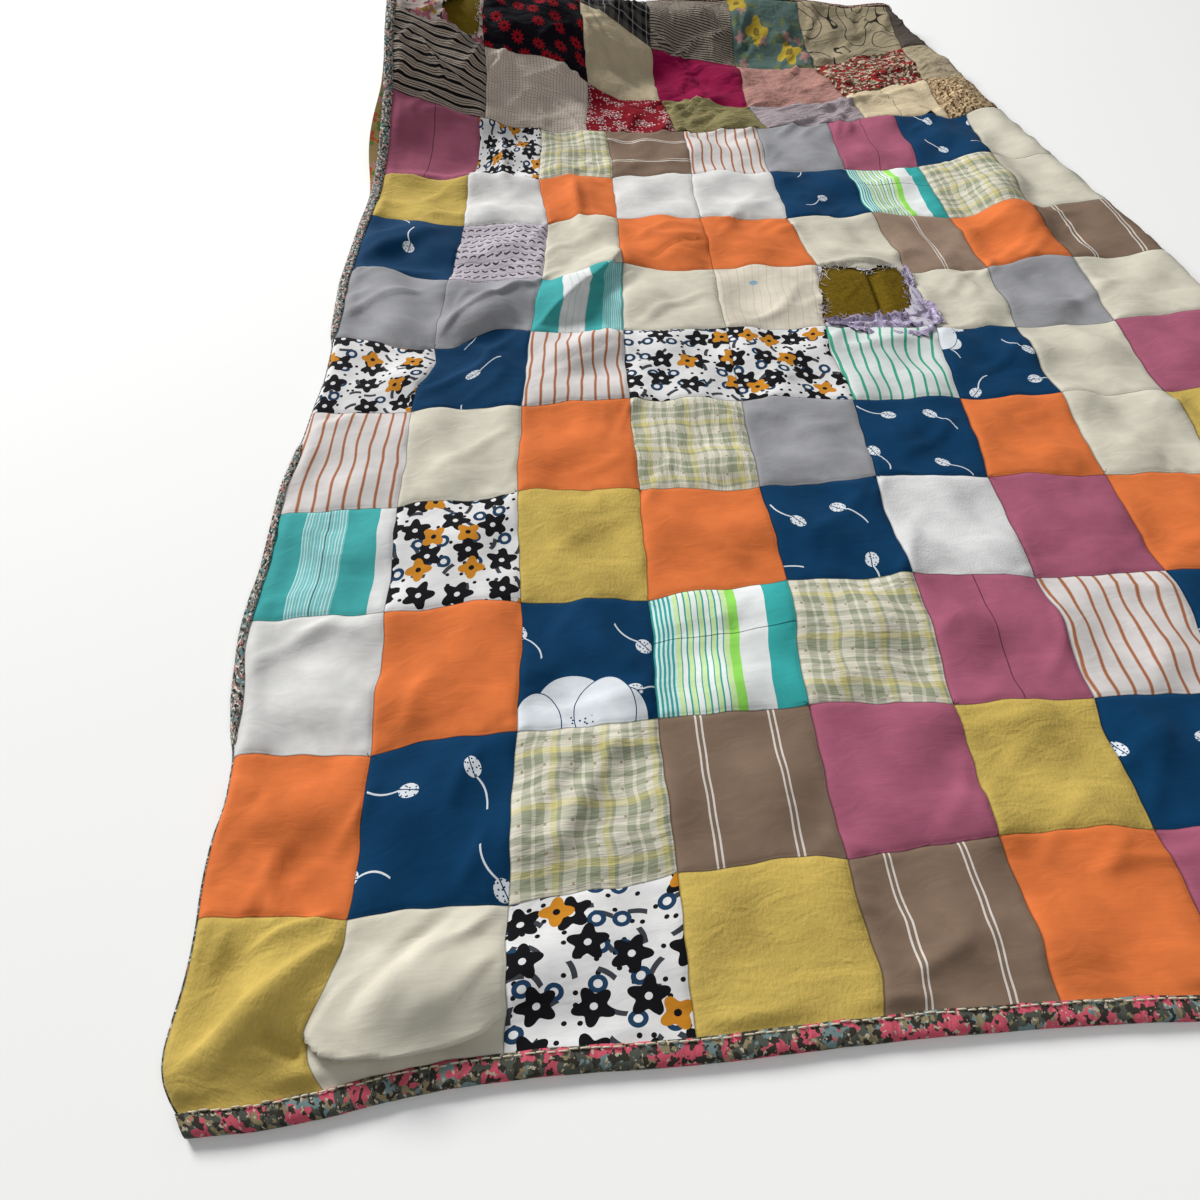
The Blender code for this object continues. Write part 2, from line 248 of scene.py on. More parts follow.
def make_piece(name, points, faces, material, maps=None, material_index=None):
    """A smooth mesh piece that rides on the quilt. maps gives each face corner's place in each map."""
    mesh = bpy.data.meshes.new(name)
    mesh.from_pydata(np.asarray(points).reshape(-1, 3).tolist(), [], np.asarray(faces).tolist())
    for one in material if isinstance(material, list) else [material]:
        mesh.materials.append(one)
    for map_name, corners in (maps or {}).items():
        layer = mesh.uv_layers.new(name=map_name)
        layer.data.foreach_set("uv", np.asarray(corners, np.float32).ravel())
    if material_index is not None:
        mesh.polygons.foreach_set("material_index", np.asarray(material_index, np.int32))
    mesh.shade_smooth()
    mesh.update()
    piece = bpy.data.objects.new(name, mesh)
    bpy.context.scene.collection.objects.link(piece)
    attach(piece, "root")
    return piece


# ---------------------------------------------------------------------------------------------
# Cloths. The patches come from dress and furnishing remnants: knits, crepes, ribs, cottons and a
# few prints. Each is matt, and each pattern is laid out in millimetres on the patch's own map.
# Stitches and threads are drawn at about twice their real spacing, which is too fine to show.
def linear(code):
    """An sRGB hex colour as linear red, green and blue with full cover."""
    parts = [int(code[place : place + 2], 16) / 255.0 for place in (1, 3, 5)]
    return (*[v / 12.92 if v <= 0.04045 else ((v + 0.055) / 1.055) ** 2.4 for v in parts], 1.0)


def add(tree, kind, inputs=(), **settings):
    """Add one node with its settings. inputs names each socket with a value, a node or a socket."""
    node = tree.nodes.new(kind)
    for name, value in settings.items():
        setattr(node, name, value)
    for name, value in dict(inputs).items():
        if isinstance(value, bpy.types.Node):
            value = value.outputs[0]
        if isinstance(value, bpy.types.NodeSocket):
            tree.links.new(value, node.inputs[name])
        else:
            node.inputs[name].default_value = value
    return node


def between(low, high, least, most):
    """The sockets of a range in which low to high becomes least to most."""
    return {"From Min": low, "From Max": high, "To Min": least, "To Max": most}


MATHS = "ShaderNodeMath"
VECTORS = "ShaderNodeVectorMath"
NOISE = "ShaderNodeTexNoise"
RANGE = "ShaderNodeMapRange"
FLAT = {"noise_dimensions": "2D"}
WRINKLE_TURN = (0.0, 0.0, 1.0)
WRINKLE_SCALE = (0.026, 0.056, 1.0)  # wrinkles are about 40 mm by 20 mm
SOIL_SCALE = 0.03
# Painted shade in the seams: the share of a cloth's colour that is left at a seam's middle.
SEAM_SHADE = 0.36
SEAM_HALF_MM = 0.8
WEAVES = {
    # name       across mm, along mm, depth mm, unevenness, change of colour (tone and painted shade), wrinkles mm
    "smooth": (1.2, 1.2, 0.05, 0.3, 0.03, 0.7),
    "rib": (24.0, 1.8, 0.12, 0.25, 0.025, 0.8),
    "crepe": (3.4, 5.0, 0.70, 0.8, 0.08, 1.6),
    "pique": (2.4, 2.4, 0.30, 0.2, 0.03, 0.7),
    "pucker": (70.0, 9.0, 1.80, 0.9, 0.12, 1.6),
    "crinkle": (15.0, 9.0, 3.20, 0.8, 0.22, 3.0),
    "worn": (1.2, 1.2, 0.05, 0.3, 0.03, 3.6),
}


def patch_map(tree):
    """The patch's own map, in millimetres from its lower left corner."""
    return add(tree, "ShaderNodeUVMap", uv_map="cloth_mm").outputs[0]


def finish_cloth(tree, colour, weave, middle_seam=None, rough=0.92, sheen=0.01):
    """Join a colour and a weave to the shader: the weave is noise drawn out to its thread spacing.

    Slanting noise wrinkles the cloth softly, and slow noise soils it a little. The weave's noise also
    sets the colour: the threads' own tone, with painted shade in its hollows and painted light on its
    raised threads. Painted shade darkens the cloth down in the seams round a patch, and along
    middle_seam, an (axis, mm) line.
    """
    shader = tree.nodes["Principled BSDF"]
    finish = {"Roughness": rough, "IOR": 1.46, "Specular IOR Level": 0.10, "Sheen Weight": sheen}
    for socket, value in finish.items():
        shader.inputs[socket].default_value = value
    shader.inputs["Sheen Roughness"].default_value = 0.5
    place = patch_map(tree)
    across, along, depth, uneven, change, wrinkles = WEAVES[weave]
    drawn = add(tree, VECTORS, {0: place, 1: (1.0 / across, 1.0 / along, 1.0)}, operation="MULTIPLY")
    fineness = {"Scale": 1.0, "Detail": 3.0, "Roughness": 0.3 + 0.4 * uneven}
    threads = add(tree, NOISE, {"Vector": drawn, **fineness}, **FLAT)
    slant = {"Vector": place, "Rotation": WRINKLE_TURN, "Scale": WRINKLE_SCALE}
    slant = add(tree, "ShaderNodeMapping", slant)
    creased = {"Vector": slant, "Scale": 1.0, "Detail": 2.0, "Distortion": 0.6}
    creased = {"Height": add(tree, NOISE, creased, **FLAT), "Strength": 0.9, "Distance": wrinkles / 1000.0}
    woven = {"Height": threads, "Strength": 0.9, "Distance": depth / 1000.0}
    relief = add(tree, "ShaderNodeBump", {**woven, "Normal": add(tree, "ShaderNodeBump", creased)})
    soil = add(tree, NOISE, {"Vector": place, "Scale": SOIL_SCALE, "Detail": 4.0}, **FLAT)
    shade = add(tree, RANGE, {"Value": soil, **between(0.3, 0.7, 0.90, 1.04)})
    # The weave's height also sets the colour: the threads' own uneven tone, with painted light on raised
    # threads and painted shade in hollows.
    grain_and_painted_shade = add(tree, RANGE, {"Value": threads, **between(0.25, 0.75, 1.0 - change, 1.0 + 0.5 * change)})
    # Painted shade in the seams: the colour darkens near a seam, and along a middle seam's line.
    seam = add(tree, "ShaderNodeAttribute", attribute_name="seam_shade_mask").outputs["Fac"]
    if middle_seam:
        axis, at = middle_seam
        part = add(tree, "ShaderNodeSeparateXYZ", {0: place}).outputs[axis]
        line = add(tree, MATHS, {0: part, 1: at, 2: SEAM_HALF_MM}, operation="COMPARE")
        seam = add(tree, MATHS, {0: seam, 1: line}, operation="MAXIMUM")
    dark = add(tree, RANGE, {"Value": seam, **between(0.45, 1.0, 1.0, SEAM_SHADE)})
    both = add(tree, MATHS, {0: shade, 1: grain_and_painted_shade}, operation="MULTIPLY")
    both = add(tree, MATHS, {0: both, 1: dark}, operation="MULTIPLY")
    tinted = add(tree, VECTORS, {0: colour, "Scale": both}, operation="SCALE")
    tree.links.new(tinted.outputs[0], shader.inputs["Base Color"])
    tree.links.new(relief.outputs[0], shader.inputs["Normal"])


def new_cloth(name):
    """An empty Principled material and its node tree."""
    material = bpy.data.materials.new(name)
    material.use_nodes = True
    return material, material.node_tree


def ground_of(tree, code):
    """One colour as a node, for prints to be laid over."""
    ground = add(tree, "ShaderNodeRGB")
    ground.outputs[0].default_value = linear(code)
    return ground.outputs[0]


def dyed(tree, under, mask, code):
    """The colour under a mask, and another colour where the mask is 1."""
    return add(tree, "ShaderNodeMix", {0: mask, 6: under, 7: linear(code)}, data_type="RGBA").outputs[2]


def plain(name, code, weave="smooth", middle_seam=None):
    """A cloth dyed in one colour."""
    material, tree = new_cloth(name)
    finish_cloth(tree, ground_of(tree, code), weave, middle_seam)
    return material


def bands(tree, across, stripes):
    """Colours in bands: stripes lists (width mm, colour) over one repeat, and across is a place in mm."""
    repeat = sum(width for width, code in stripes)
    share = add(tree, MATHS, {0: across, 1: repeat}, operation="FLOORED_MODULO")
    share = add(tree, MATHS, {0: share, 1: repeat}, operation="DIVIDE")
    ramp = add(tree, "ShaderNodeValToRGB", {0: share})
    ramp.color_ramp.interpolation = "CONSTANT"
    start = 0.0
    for number, (width, code) in enumerate(stripes):
        stop = ramp.color_ramp.elements[0] if number == 0 else ramp.color_ramp.elements.new(start / repeat)
        stop.position = start / repeat
        stop.color = linear(code)
        start += width
    ramp.color_ramp.elements.remove(ramp.color_ramp.elements[len(stripes)])
    return ramp


def striped(name, stripes, weave="smooth", wobble=0.0, along=False, middle_seam=None, mark=None):
    """A cloth with bands along it, as wide as the table says. wobble lets them wander, in mm.

    mark is a small stain: where its middle is, its half sizes in mm, and its colour.
    """
    material, tree = new_cloth(name)
    place = patch_map(tree)
    across = add(tree, "ShaderNodeSeparateXYZ", {0: place}).outputs[1 if along else 0]
    if wobble:
        sway = add(tree, NOISE, {"Vector": place, "Scale": 0.016, "Detail": 0.0}, **FLAT)
        across = add(tree, MATHS, {0: sway, 1: 4.0 * wobble, 2: across}, operation="MULTIPLY_ADD")
    colour = bands(tree, across, stripes).outputs[0]
    if mark:
        middle, radii, code = mark
        colour = dyed(tree, colour, oval(tree, place, middle, radii), code)
    finish_cloth(tree, colour, weave, middle_seam)
    return material


def double_stripe(name, code, before, after):
    """Knit with two close pale lines, and so many mm of plain cloth before and after them."""
    pale = (2.2, "#CFC8BF")
    return striped(name, ((before, code), pale, (3.4, code), pale, (after, code)))


def checked(name, over, up, weave="smooth", fleck=None, wobble=0.0):
    """A cloth with bands both ways, each thread showing half of its colour where they cross.

    fleck is (pitch across mm, pitch along mm, half size mm, colour) of small tufts at some crossings.
    wobble lets the bands wander, in mm.
    """
    material, tree = new_cloth(name)
    place = patch_map(tree)
    if wobble:
        sway = add(tree, NOISE, {"Vector": place, "Scale": 0.03, "Detail": 0.0}, **FLAT).outputs["Color"]
        sway = add(tree, VECTORS, {0: sway, "Scale": 4.0 * wobble}, operation="SCALE")
        place = add(tree, VECTORS, {0: place, 1: sway}, operation="ADD")
    place = add(tree, "ShaderNodeSeparateXYZ", {0: place})
    warp, weft = bands(tree, place.outputs[0], over), bands(tree, place.outputs[1], up)
    colour = add(tree, "ShaderNodeMix", {0: 0.5, 6: warp, 7: weft}, data_type="RGBA").outputs[2]
    if fleck:
        across, along, half, code = fleck
        tufts = 1.0
        for axis, pitch in ((0, across), (1, along)):
            turn = add(tree, MATHS, {0: place.outputs[axis], 1: pitch}, operation="FLOORED_MODULO")
            turn = add(tree, MATHS, {0: turn, 1: 0.4 * pitch, 2: half}, operation="COMPARE")
            tufts = add(tree, MATHS, {0: turn, 1: tufts}, operation="MULTIPLY")
        colour = dyed(tree, colour, tufts, code)
    finish_cloth(tree, colour, weave)
    return material


def scatter(tree, cell, loose, shift=(0.0, 0.0, 0.0)):
    """Places round the middle of each motif, one motif to a cell of the cloth, each turned at random.

    Gives a place in mm whose zero is the motif's middle, and three chances that are the motif's own.
    """
    moved = add(tree, VECTORS, {0: patch_map(tree), 1: shift}, operation="ADD")
    spread = add(tree, VECTORS, {0: moved, 1: (1.0 / cell, 1.0 / cell, 0.0)}, operation="MULTIPLY")
    cells = {"Vector": spread, "Scale": 1.0, "Randomness": loose}
    cells = add(tree, "ShaderNodeTexVoronoi", cells, voronoi_dimensions="2D")
    local = add(tree, VECTORS, {0: spread, 1: cells.outputs["Position"]}, operation="SUBTRACT")
    local = add(tree, VECTORS, {0: local, "Scale": cell}, operation="SCALE")
    chances = add(tree, "ShaderNodeSeparateColor", {0: cells.outputs["Color"]})
    angle = add(tree, MATHS, {0: chances.outputs[0], 1: 2.0 * math.pi}, operation="MULTIPLY")
    local = add(tree, "ShaderNodeVectorRotate", {"Vector": local, "Angle": angle}, rotation_type="Z_AXIS")
    return local.outputs[0], chances


def oval(tree, local, middle, radii):
    """1 inside an oval round a middle and 0 outside: the length of the place over the radii is under 1."""
    moved = add(tree, VECTORS, {0: local, 1: (-middle[0], -middle[1], 0.0)}, operation="ADD")
    shrunk = add(tree, VECTORS, {0: moved, 1: (1.0 / radii[0], 1.0 / radii[1], 0.0)}, operation="MULTIPLY")
    away = add(tree, VECTORS, {0: shrunk}, operation="LENGTH").outputs["Value"]
    return add(tree, MATHS, {0: away, 1: 1.0}, operation="LESS_THAN")


def spot(tree, local, radius):
    """1 inside a round spot on the middle of a motif."""
    return oval(tree, local, (0.0, 0.0), (radius, radius))


def bar(tree, local, start, length, half, bend):
    """1 inside a bowed bar: it leaves start along x, and bends off by the square of the way over bend."""
    moved = add(tree, VECTORS, {0: local, 1: (-start - length / 2.0, 0.0, 0.0)}, operation="ADD")
    axes = add(tree, "ShaderNodeSeparateXYZ", {0: moved})
    bow = add(tree, MATHS, {0: axes.outputs[0], 1: 2.0}, operation="POWER")
    bow = add(tree, MATHS, {0: bow, 1: 1.0 / bend, 2: axes.outputs[1]}, operation="MULTIPLY_ADD")
    close = add(tree, MATHS, {0: bow, 1: length**2 / (4.0 * bend), 2: half}, operation="COMPARE")
    reach = add(tree, MATHS, {0: axes.outputs[0], 1: 0.0, 2: length / 2.0}, operation="COMPARE")
    return add(tree, MATHS, {0: close, 1: reach}, operation="MULTIPLY")


def petals_of(tree, local, size, petals, depth):
    """1 inside a flower whose edge lies at size * (1 - depth + depth * cos(petals * angle))."""
    axes = add(tree, "ShaderNodeSeparateXYZ", {0: local})
    turn = add(tree, MATHS, {0: axes.outputs[1], 1: axes.outputs[0]}, operation="ARCTAN2")
    turn = add(tree, MATHS, {0: turn, 1: float(petals)}, operation="MULTIPLY")
    wave = add(tree, MATHS, {0: turn}, operation="COSINE")
    edge = add(tree, MATHS, {0: wave, 1: size * depth, 2: size * (1.0 - depth)}, operation="MULTIPLY_ADD")
    away = add(tree, VECTORS, {0: local}, operation="LENGTH").outputs["Value"]
    return add(tree, MATHS, {0: away, 1: edge}, operation="LESS_THAN")


def some(tree, mask, chances, share):
    """A mask kept on only a share of the motifs."""
    kept = add(tree, MATHS, {0: chances.outputs[1], 1: share}, operation="LESS_THAN")
    return add(tree, MATHS, {0: mask, 1: kept}, operation="MULTIPLY")


def scattered(name, ground, prints, weave="smooth"):
    """A print of small flowers laid one over another.

    prints lists each layer as colour, cell mm, size mm, petals, depth, share of cells, shift mm.
    """
    material, tree = new_cloth(name)
    colour = ground_of(tree, ground)
    for code, cell, size, petals, depth, share, shift in prints:
        local, chances = scatter(tree, cell, 0.6, (shift, 0.7 * shift, 0.0))
        mask = some(tree, petals_of(tree, local, size, petals, depth), chances, share)
        colour = dyed(tree, colour, mask, code)
    finish_cloth(tree, colour, weave)
    return material


def blotched(name, ground, blots):
    """A busy little print: blots with wandering edges, laid one over another.

    blots lists colour, size mm, and the level that a noise has to pass: a higher one makes fewer.
    """
    material, tree = new_cloth(name)
    colour = ground_of(tree, ground)
    for number, (code, size, level) in enumerate(blots):
        apart = (67.0 * number, 31.0 * number, 0.0)
        moved = add(tree, VECTORS, {0: patch_map(tree), 1: apart}, operation="ADD")
        blot = add(tree, NOISE, {"Vector": moved, "Scale": 1.0 / size, "Detail": 2.0}, **FLAT)
        blot = add(tree, MATHS, {0: blot, 1: level}, operation="GREATER_THAN")
        colour = dyed(tree, colour, blot, code)
    finish_cloth(tree, colour, "worn")
    return material


def lined(name, ground, size, lines, code):
    """A print of long thin curved lines, which are level lines of a smooth noise."""
    material, tree = new_cloth(name)
    hills = add(tree, NOISE, {"Vector": patch_map(tree), "Scale": 1.0 / size, "Detail": 0.0}, **FLAT)
    levels = add(tree, MATHS, {0: hills, 1: lines}, operation="MULTIPLY")
    levels = add(tree, MATHS, {0: levels, 1: 1.0}, operation="FLOORED_MODULO")
    line = add(tree, MATHS, {0: levels, 1: 0.5, 2: 0.055}, operation="COMPARE")
    finish_cloth(tree, dyed(tree, ground_of(tree, ground), line, code), "worn")
    return material


NAVY, CHALK = "#063557", "#D0D5D9"


def sprig_print(name, flower=()):
    """Knitted polyester in deep blue, with a white bud on a bowed stem every few inches.

    A bud is an oval with a slit and seeds. flower lists the ovals of a large bloom, (x, y, wide,
    high) in mm: each is laid over the last with a thin blue rim.
    """
    material, tree = new_cloth(name)
    local, _ = scatter(tree, 104.0, 0.42)
    bud = oval(tree, local, (-17.0, 0.0), (11.0, 8.4))
    stem = bar(tree, local, -7.0, 36.0, 1.0, 70.0)
    colour = dyed(tree, dyed(tree, ground_of(tree, NAVY), stem, CHALK), bud, CHALK)
    height = add(tree, "ShaderNodeSeparateXYZ", {0: local}).outputs[1]
    slit = add(tree, MATHS, {0: height, 1: -1.0, 2: 0.6}, operation="COMPARE")
    seeds, _ = scatter(tree, 4.6, 0.8)
    marks = add(tree, MATHS, {0: slit, 1: spot(tree, seeds, 0.95)}, operation="MAXIMUM")
    colour = dyed(tree, colour, add(tree, MATHS, {0: marks, 1: bud}, operation="MULTIPLY"), NAVY)
    place = patch_map(tree)
    for x, y, wide, high in flower:
        for rim, code in ((1.2, NAVY), (0.0, CHALK)):
            colour = dyed(tree, colour, oval(tree, place, (x, y), (wide + rim, high + rim)), code)
    if flower:
        x, y = flower[0][:2]
        heart = oval(tree, place, (x + 10.0, y - 12.0), (16.0, 7.0))
        dots, chances = scatter(tree, 4.4, 0.9, (3.0, 1.0, 0.0))
        stamens = some(tree, spot(tree, dots, 1.2), chances, 0.6)
        colour = dyed(tree, colour, add(tree, MATHS, {0: heart, 1: stamens}, operation="MULTIPLY"), NAVY)
    finish_cloth(tree, colour, "smooth")
    return material


def wave_line(tree, place, axis, pitch, half, sway, wave):
    """1 on lines that cross the cloth every pitch mm, bent to and fro by a sine along them."""
    bend = add(tree, MATHS, {0: place.outputs[1 - axis], 1: 1.0 / wave}, operation="MULTIPLY")
    bend = add(tree, MATHS, {0: bend}, operation="SINE")
    moved = add(tree, MATHS, {0: bend, 1: sway, 2: place.outputs[axis]}, operation="MULTIPLY_ADD")
    share = add(tree, MATHS, {0: moved, 1: pitch}, operation="FLOORED_MODULO")
    return share, add(tree, MATHS, {0: share, 1: pitch / 2.0, 2: half}, operation="COMPARE")


def tossed_print():
    """White knit with black and ochre blooms tossed over grey dashes, navy rings and small black dots."""
    white = "#D6D5D4"
    material, tree = new_cloth("tossed_bloom_knit")
    colour = ground_of(tree, white)
    local, chances = scatter(tree, 15.0, 0.7, (9.0, 4.0, 0.0))
    colour = dyed(tree, colour, some(tree, spot(tree, local, 2.4), chances, 0.55), "#151619")
    local, chances = scatter(tree, 31.0, 0.5, (31.0, 12.0, 0.0))
    colour = dyed(tree, colour, some(tree, bar(tree, local, -9.0, 18.0, 2.6, 60.0), chances, 0.8), "#3A3D43")
    local, chances = scatter(tree, 34.0, 0.5, (5.0, 44.0, 0.0))
    for radius, code in ((8.6, "#1F3B57"), (4.0, white)):
        colour = dyed(tree, colour, some(tree, spot(tree, local, radius), chances, 0.7), code)
    # A bloom is a round of petals in one colour, with a heart in another.
    for cell, share, petals, size, shift, code, heart in (
        (49.0, 0.95, 5, 19.5, 60.0, "#111114", white),
        (57.0, 0.70, 4, 16.5, 15.0, "#BC7C22", "#111114"),
    ):
        local, chances = scatter(tree, cell, 0.45, (shift, 0.4 * shift, 0.0))
        bloom = some(tree, petals_of(tree, local, size, petals, 0.20), chances, share)
        middle = some(tree, spot(tree, local, 3.4), chances, share)
        colour = dyed(tree, dyed(tree, colour, bloom, code), middle, heart)
    finish_cloth(tree, colour, "smooth")
    return material


def dash_print():
    """Pale lilac crepe with rows of small dark dashes, and a thin grey line between the rows."""
    material, tree = new_cloth("lilac_dash_print")
    place = add(tree, "ShaderNodeSeparateXYZ", {0: patch_map(tree)})
    _, line = wave_line(tree, place, 1, 17.0, 0.7, 1.2, 6.0)
    colour = dyed(tree, ground_of(tree, "#B8B1B7"), line, "#8D8496")
    rows = wave_line(tree, place, 1, 17.0, 8.5, 2.2, 2.6)[0]
    rows = add(tree, MATHS, {0: rows, 1: 2.5, 2: 2.1}, operation="COMPARE")
    _, pieces = wave_line(tree, place, 0, 15.0, 5.4, 3.0, 11.0)
    dashes = add(tree, MATHS, {0: rows, 1: pieces}, operation="MULTIPLY")
    finish_cloth(tree, dyed(tree, colour, dashes, "#3F3647"), "crepe")
    return material


TEAL, AQUA = "#3F9D9C", "#3C9A97"
FINE_TEAL = ((1.1, "#BAD7D6"), (2.6, "#6DB4B3"))
FINE_WHITE = ((9.0, "#D6D8D6"), (1.6, "#BFCAC8"))
FINE_AQUA = ((2.4, AQUA), (2.4, "#C7E0DA"))
FINE_LIME = ((5.0, "#C4DDA2"), (1.5, AQUA), (5.0, "#DDE4DD"), (1.5, AQUA))
LIME_END = ((6, "#C4DDA2"), (10, "#8FD65C"), (31, "#D9DCDA"), (34, "#37A29F"))
SAGE, PALE, STRAW = "#8F947C", "#D0CBBA", "#C6BC7C"
BEIGE_LINES = ((4.6, "#D2C5B7"), (1.1, "#87776A"))
TARTAN_LINES = ((14, "#55524D"), (11, "#101116"), (2.6, "#A09B92"), (11, "#1C1D22"))
BLACK, RED, ASH = "#0E0A12", "#7E0D1C", "#C9B9B6"

CLOTHS = {
    # Dress knits, crepes and twills in one colour: soft and even, with the grain of their weave.
    "mustard": plain("mustard_crepe", "#BBA254", "crepe"),
    "cream": plain("cream_rib_knit", "#C7C2B1", "rib"),
    "white": plain("white_knit", "#CFCECB"),
    "pique": plain("white_pique", "#D2D1D0", "pique"),
    "orange": plain("orange_twill_knit", "#D2703B", "rib"),
    "mauve": plain("mauve_twill_knit", "#9C566C", "rib"),
    "mauveseam": plain("mauve_pieced_knit", "#9C566C", "rib", (0, 77.0)),
    "grey": plain("grey_knit", "#929295"),
    # Printed and striped knits of the near part: flat, clean colours on the same soft ground.
    "blue": sprig_print("blue_sprig_knit"),
    "blueflower": sprig_print(
        "blue_bloom_knit", ((60, 20, 42, 46), (22, 4, 26, 40), (122, 2, 22, 36), (97, 14, 34, 44))
    ),
    "bluecorner": sprig_print("blue_petal_knit", ((28, 160, 22, 9), (20, 122, 14, 14), (6, 142, 24, 32))),
    "tossed": tossed_print(),
    "taupelight": double_stripe("taupe_wide_stripe", "#907A69", 72, 90),
    "taupe": double_stripe("taupe_double_stripe", "#7A6656", 36, 31),
    "brownstripe": striped(
        "white_brown_stripe",
        ((7.5, "#CDC8C5"), (0.8, "#B99583"), (2.8, "#9C6446"), (0.8, "#B99583"), (8.1, "#CDC8C5")),
        wobble=2.0,
    ),
    "greenstripe": striped(
        "white_green_stripe", ((7.0, "#CDD3D0"), (3.6, "#3E9C7D"), (7.0, "#CDD3D0")), wobble=3.0
    ),
    "plaid": checked(
        "green_plaid_seersucker",
        ((13, PALE), (9, SAGE), (4, PALE), (9, SAGE), (7, PALE), (6, STRAW), (4, SAGE)),
        ((11, PALE), (12, SAGE), (7, STRAW), (8, PALE), (5, "#A2A68E"), (8, PALE), (7, SAGE)),
        "pucker",
        (26.0, 28.5, 1.4, "#A08F78"),
        1.6,
    ),
    "teal": striped(
        "teal_bands", ((43, TEAL),) + FINE_TEAL * 14 + ((40, TEAL), (40, "#D2D3D1")), middle_seam=(0, 72.0)
    ),
    "tealwide": striped(
        "teal_wide_bands",
        ((45, TEAL), (2, "#CFD5D3")) + FINE_WHITE * 4 + ((30, TEAL),) + FINE_TEAL * 9 + ((4, TEAL),),
    ),
    "aqua": striped("aqua_lime_bands", FINE_AQUA * 5 + FINE_LIME * 4 + LIME_END, middle_seam=(1, 100.0)),
    "lilacdash": dash_print(),
    "lavender": scattered("lavender_sprig_print", "#C6C1CC", (("#8F88A0", 11.0, 3.0, 3, 0.4, 1.0, 0.0),)),
    "faint": striped(
        "cream_faint_stripe",
        ((11, "#CEC6B6"), (1.5, "#C3B5A0"), (9, "#CEC6B6"), (1.5, "#C9BCA8")),
        wobble=2.0,
        mark=((56.0, 118.0), (6.5, 5.0), "#86A8BA"),
    ),
    # Older cottons and satins of the far part: thin, limp and wrinkled, in deeper colours.
    "wavy": striped(
        "black_beige_stripe",
        (
            (6.0, "#12100F"), (3.4, "#A4978A"), (1.6, "#2A2422"),
            (2.4, "#B0A395"), (1.6, "#4A403A"), (3.6, "#A4978A"),
        ),
        "worn",
        wobble=3.0,
        along=True,
    ),
    "beigecheck": checked("beige_check", BEIGE_LINES, BEIGE_LINES, "worn"),
    "bandana": scattered("red_bandana", RED, (
        (ASH, 36.0, 14.0, 6, 0.22, 0.8, 0.0),
        (RED, 36.0, 11.2, 6, 0.22, 0.8, 0.0),
        (ASH, 36.0, 5.0, 5, 0.3, 0.8, 0.0),
        (ASH, 13.0, 1.6, 1, 0.0, 0.45, 5.0),
    ), "worn"),
    "lightgreen": plain("light_green_crinkle", "#857C54", "crinkle"),
    "lilacgrey": plain("lilac_grey_crinkle", "#A09498", "crinkle"),
    "khaki": plain("khaki_cream_cotton", "#CDBC9C", "crepe", (0, 82.0)),
    "scribble": blotched("brown_scribble_print", "#957D5F", (("#4E3824", 9.0, 0.53), ("#C6B089", 7.0, 0.57))),
    "pinkprint": scattered("pink_ochre_print", "#A99C94", (
        ("#9C5A66", 34.0, 14.0, 4, 0.3, 0.8, 0.0),
        ("#8E6C34", 37.0, 11.0, 2, 0.4, 0.8, 8.0),
        ("#3F302C", 31.0, 7.0, 3, 0.4, 0.6, 19.0),
    ), "worn"),
    "daisies": scattered("black_daisy_print", BLACK, (
        ("#8E0F1C", 36.0, 12.5, 10, 0.20, 0.9, 0.0),
        (BLACK, 36.0, 2.6, 1, 0.0, 0.9, 0.0),
    ), "worn"),
    "beige": plain("beige_cotton", "#BDAF91", "worn"),
    "magenta": plain("magenta_satin", "#84063B", "worn"),
    "pink": plain("pink_crinkle", "#A87D73", "crinkle"),
    "roses": blotched("rose_print", "#6E2B27", (
        ("#B09F88", 17.0, 0.54), ("#9C2422", 19.0, 0.55), ("#5D5B40", 12.0, 0.60),
        ("#CDBBA4", 9.0, 0.62), ("#3F1A18", 8.0, 0.60),
    )),
    "crinklecream": plain("cream_crinkle", "#A6997F", "crinkle"),
    "tartan": checked("grey_tartan", TARTAN_LINES, TARTAN_LINES, "worn"),
    "pinstripe": striped("black_beige_pinstripe", ((3.0, "#94897B"), (2.4, "#332F2C")), "worn", wobble=1.0),
    "tealflower": scattered("teal_flower_print", "#4E625C", (
        ("#5F6A45", 34.0, 12.0, 2, 0.4, 0.8, 9.0),
        ("#8F6C66", 52.0, 14.0, 5, 0.25, 0.6, 0.0),
        ("#A08A2E", 112.0, 30.0, 4, 0.20, 1.0, 40.0),
        ("#6B5A22", 112.0, 8.0, 1, 0.0, 1.0, 40.0),
    ), "worn"),
    "lineflower": lined("line_flower_print", "#988C72", 85.0, 7.0, "#27231F"),
    "darkbrown": plain("dark_brown_cotton", "#4E463F", "worn"),
}


# ---------------------------------------------------------------------------------------------
# The patchwork top. Ten patches across and ten along make the near part, and larger patches from
# older cloth make the far part. They are sewn edge to edge and stand a little proud of the seams.
NEAR_ACROSS = (
    # s of each column seam, in mm, one row for each row seam from the near edge
    (2, 137, 299, 459, 614, 768, 918, 1068, 1220, 1370, 1514),
    (2, 145, 301, 456, 615, 762, 915, 1067, 1220, 1370, 1514),
    (2, 149, 306, 451, 611, 762, 913, 1066, 1220, 1370, 1514),
    (2, 155, 306, 452, 618, 766, 910, 1065, 1218, 1370, 1514),
    (2, 150, 299, 455, 608, 762, 907, 1062, 1215, 1368, 1514),
    (2, 143, 301, 453, 610, 766, 918, 1060, 1210, 1365, 1514),
    (2, 163, 313, 453, 610, 761, 929, 1055, 1205, 1362, 1514),
    (2, 178, 329, 461, 610, 782, 926, 1057, 1195, 1358, 1514),
    (2, 190, 339, 460, 605, 758, 906, 1045, 1180, 1352, 1514),
    (2, 186, 323, 459, 609, 754, 899, 1035, 1165, 1345, 1514),
    (2, 197, 325, 455, 610, 757, 903, 1035, 1180, 1340, 1514),
)
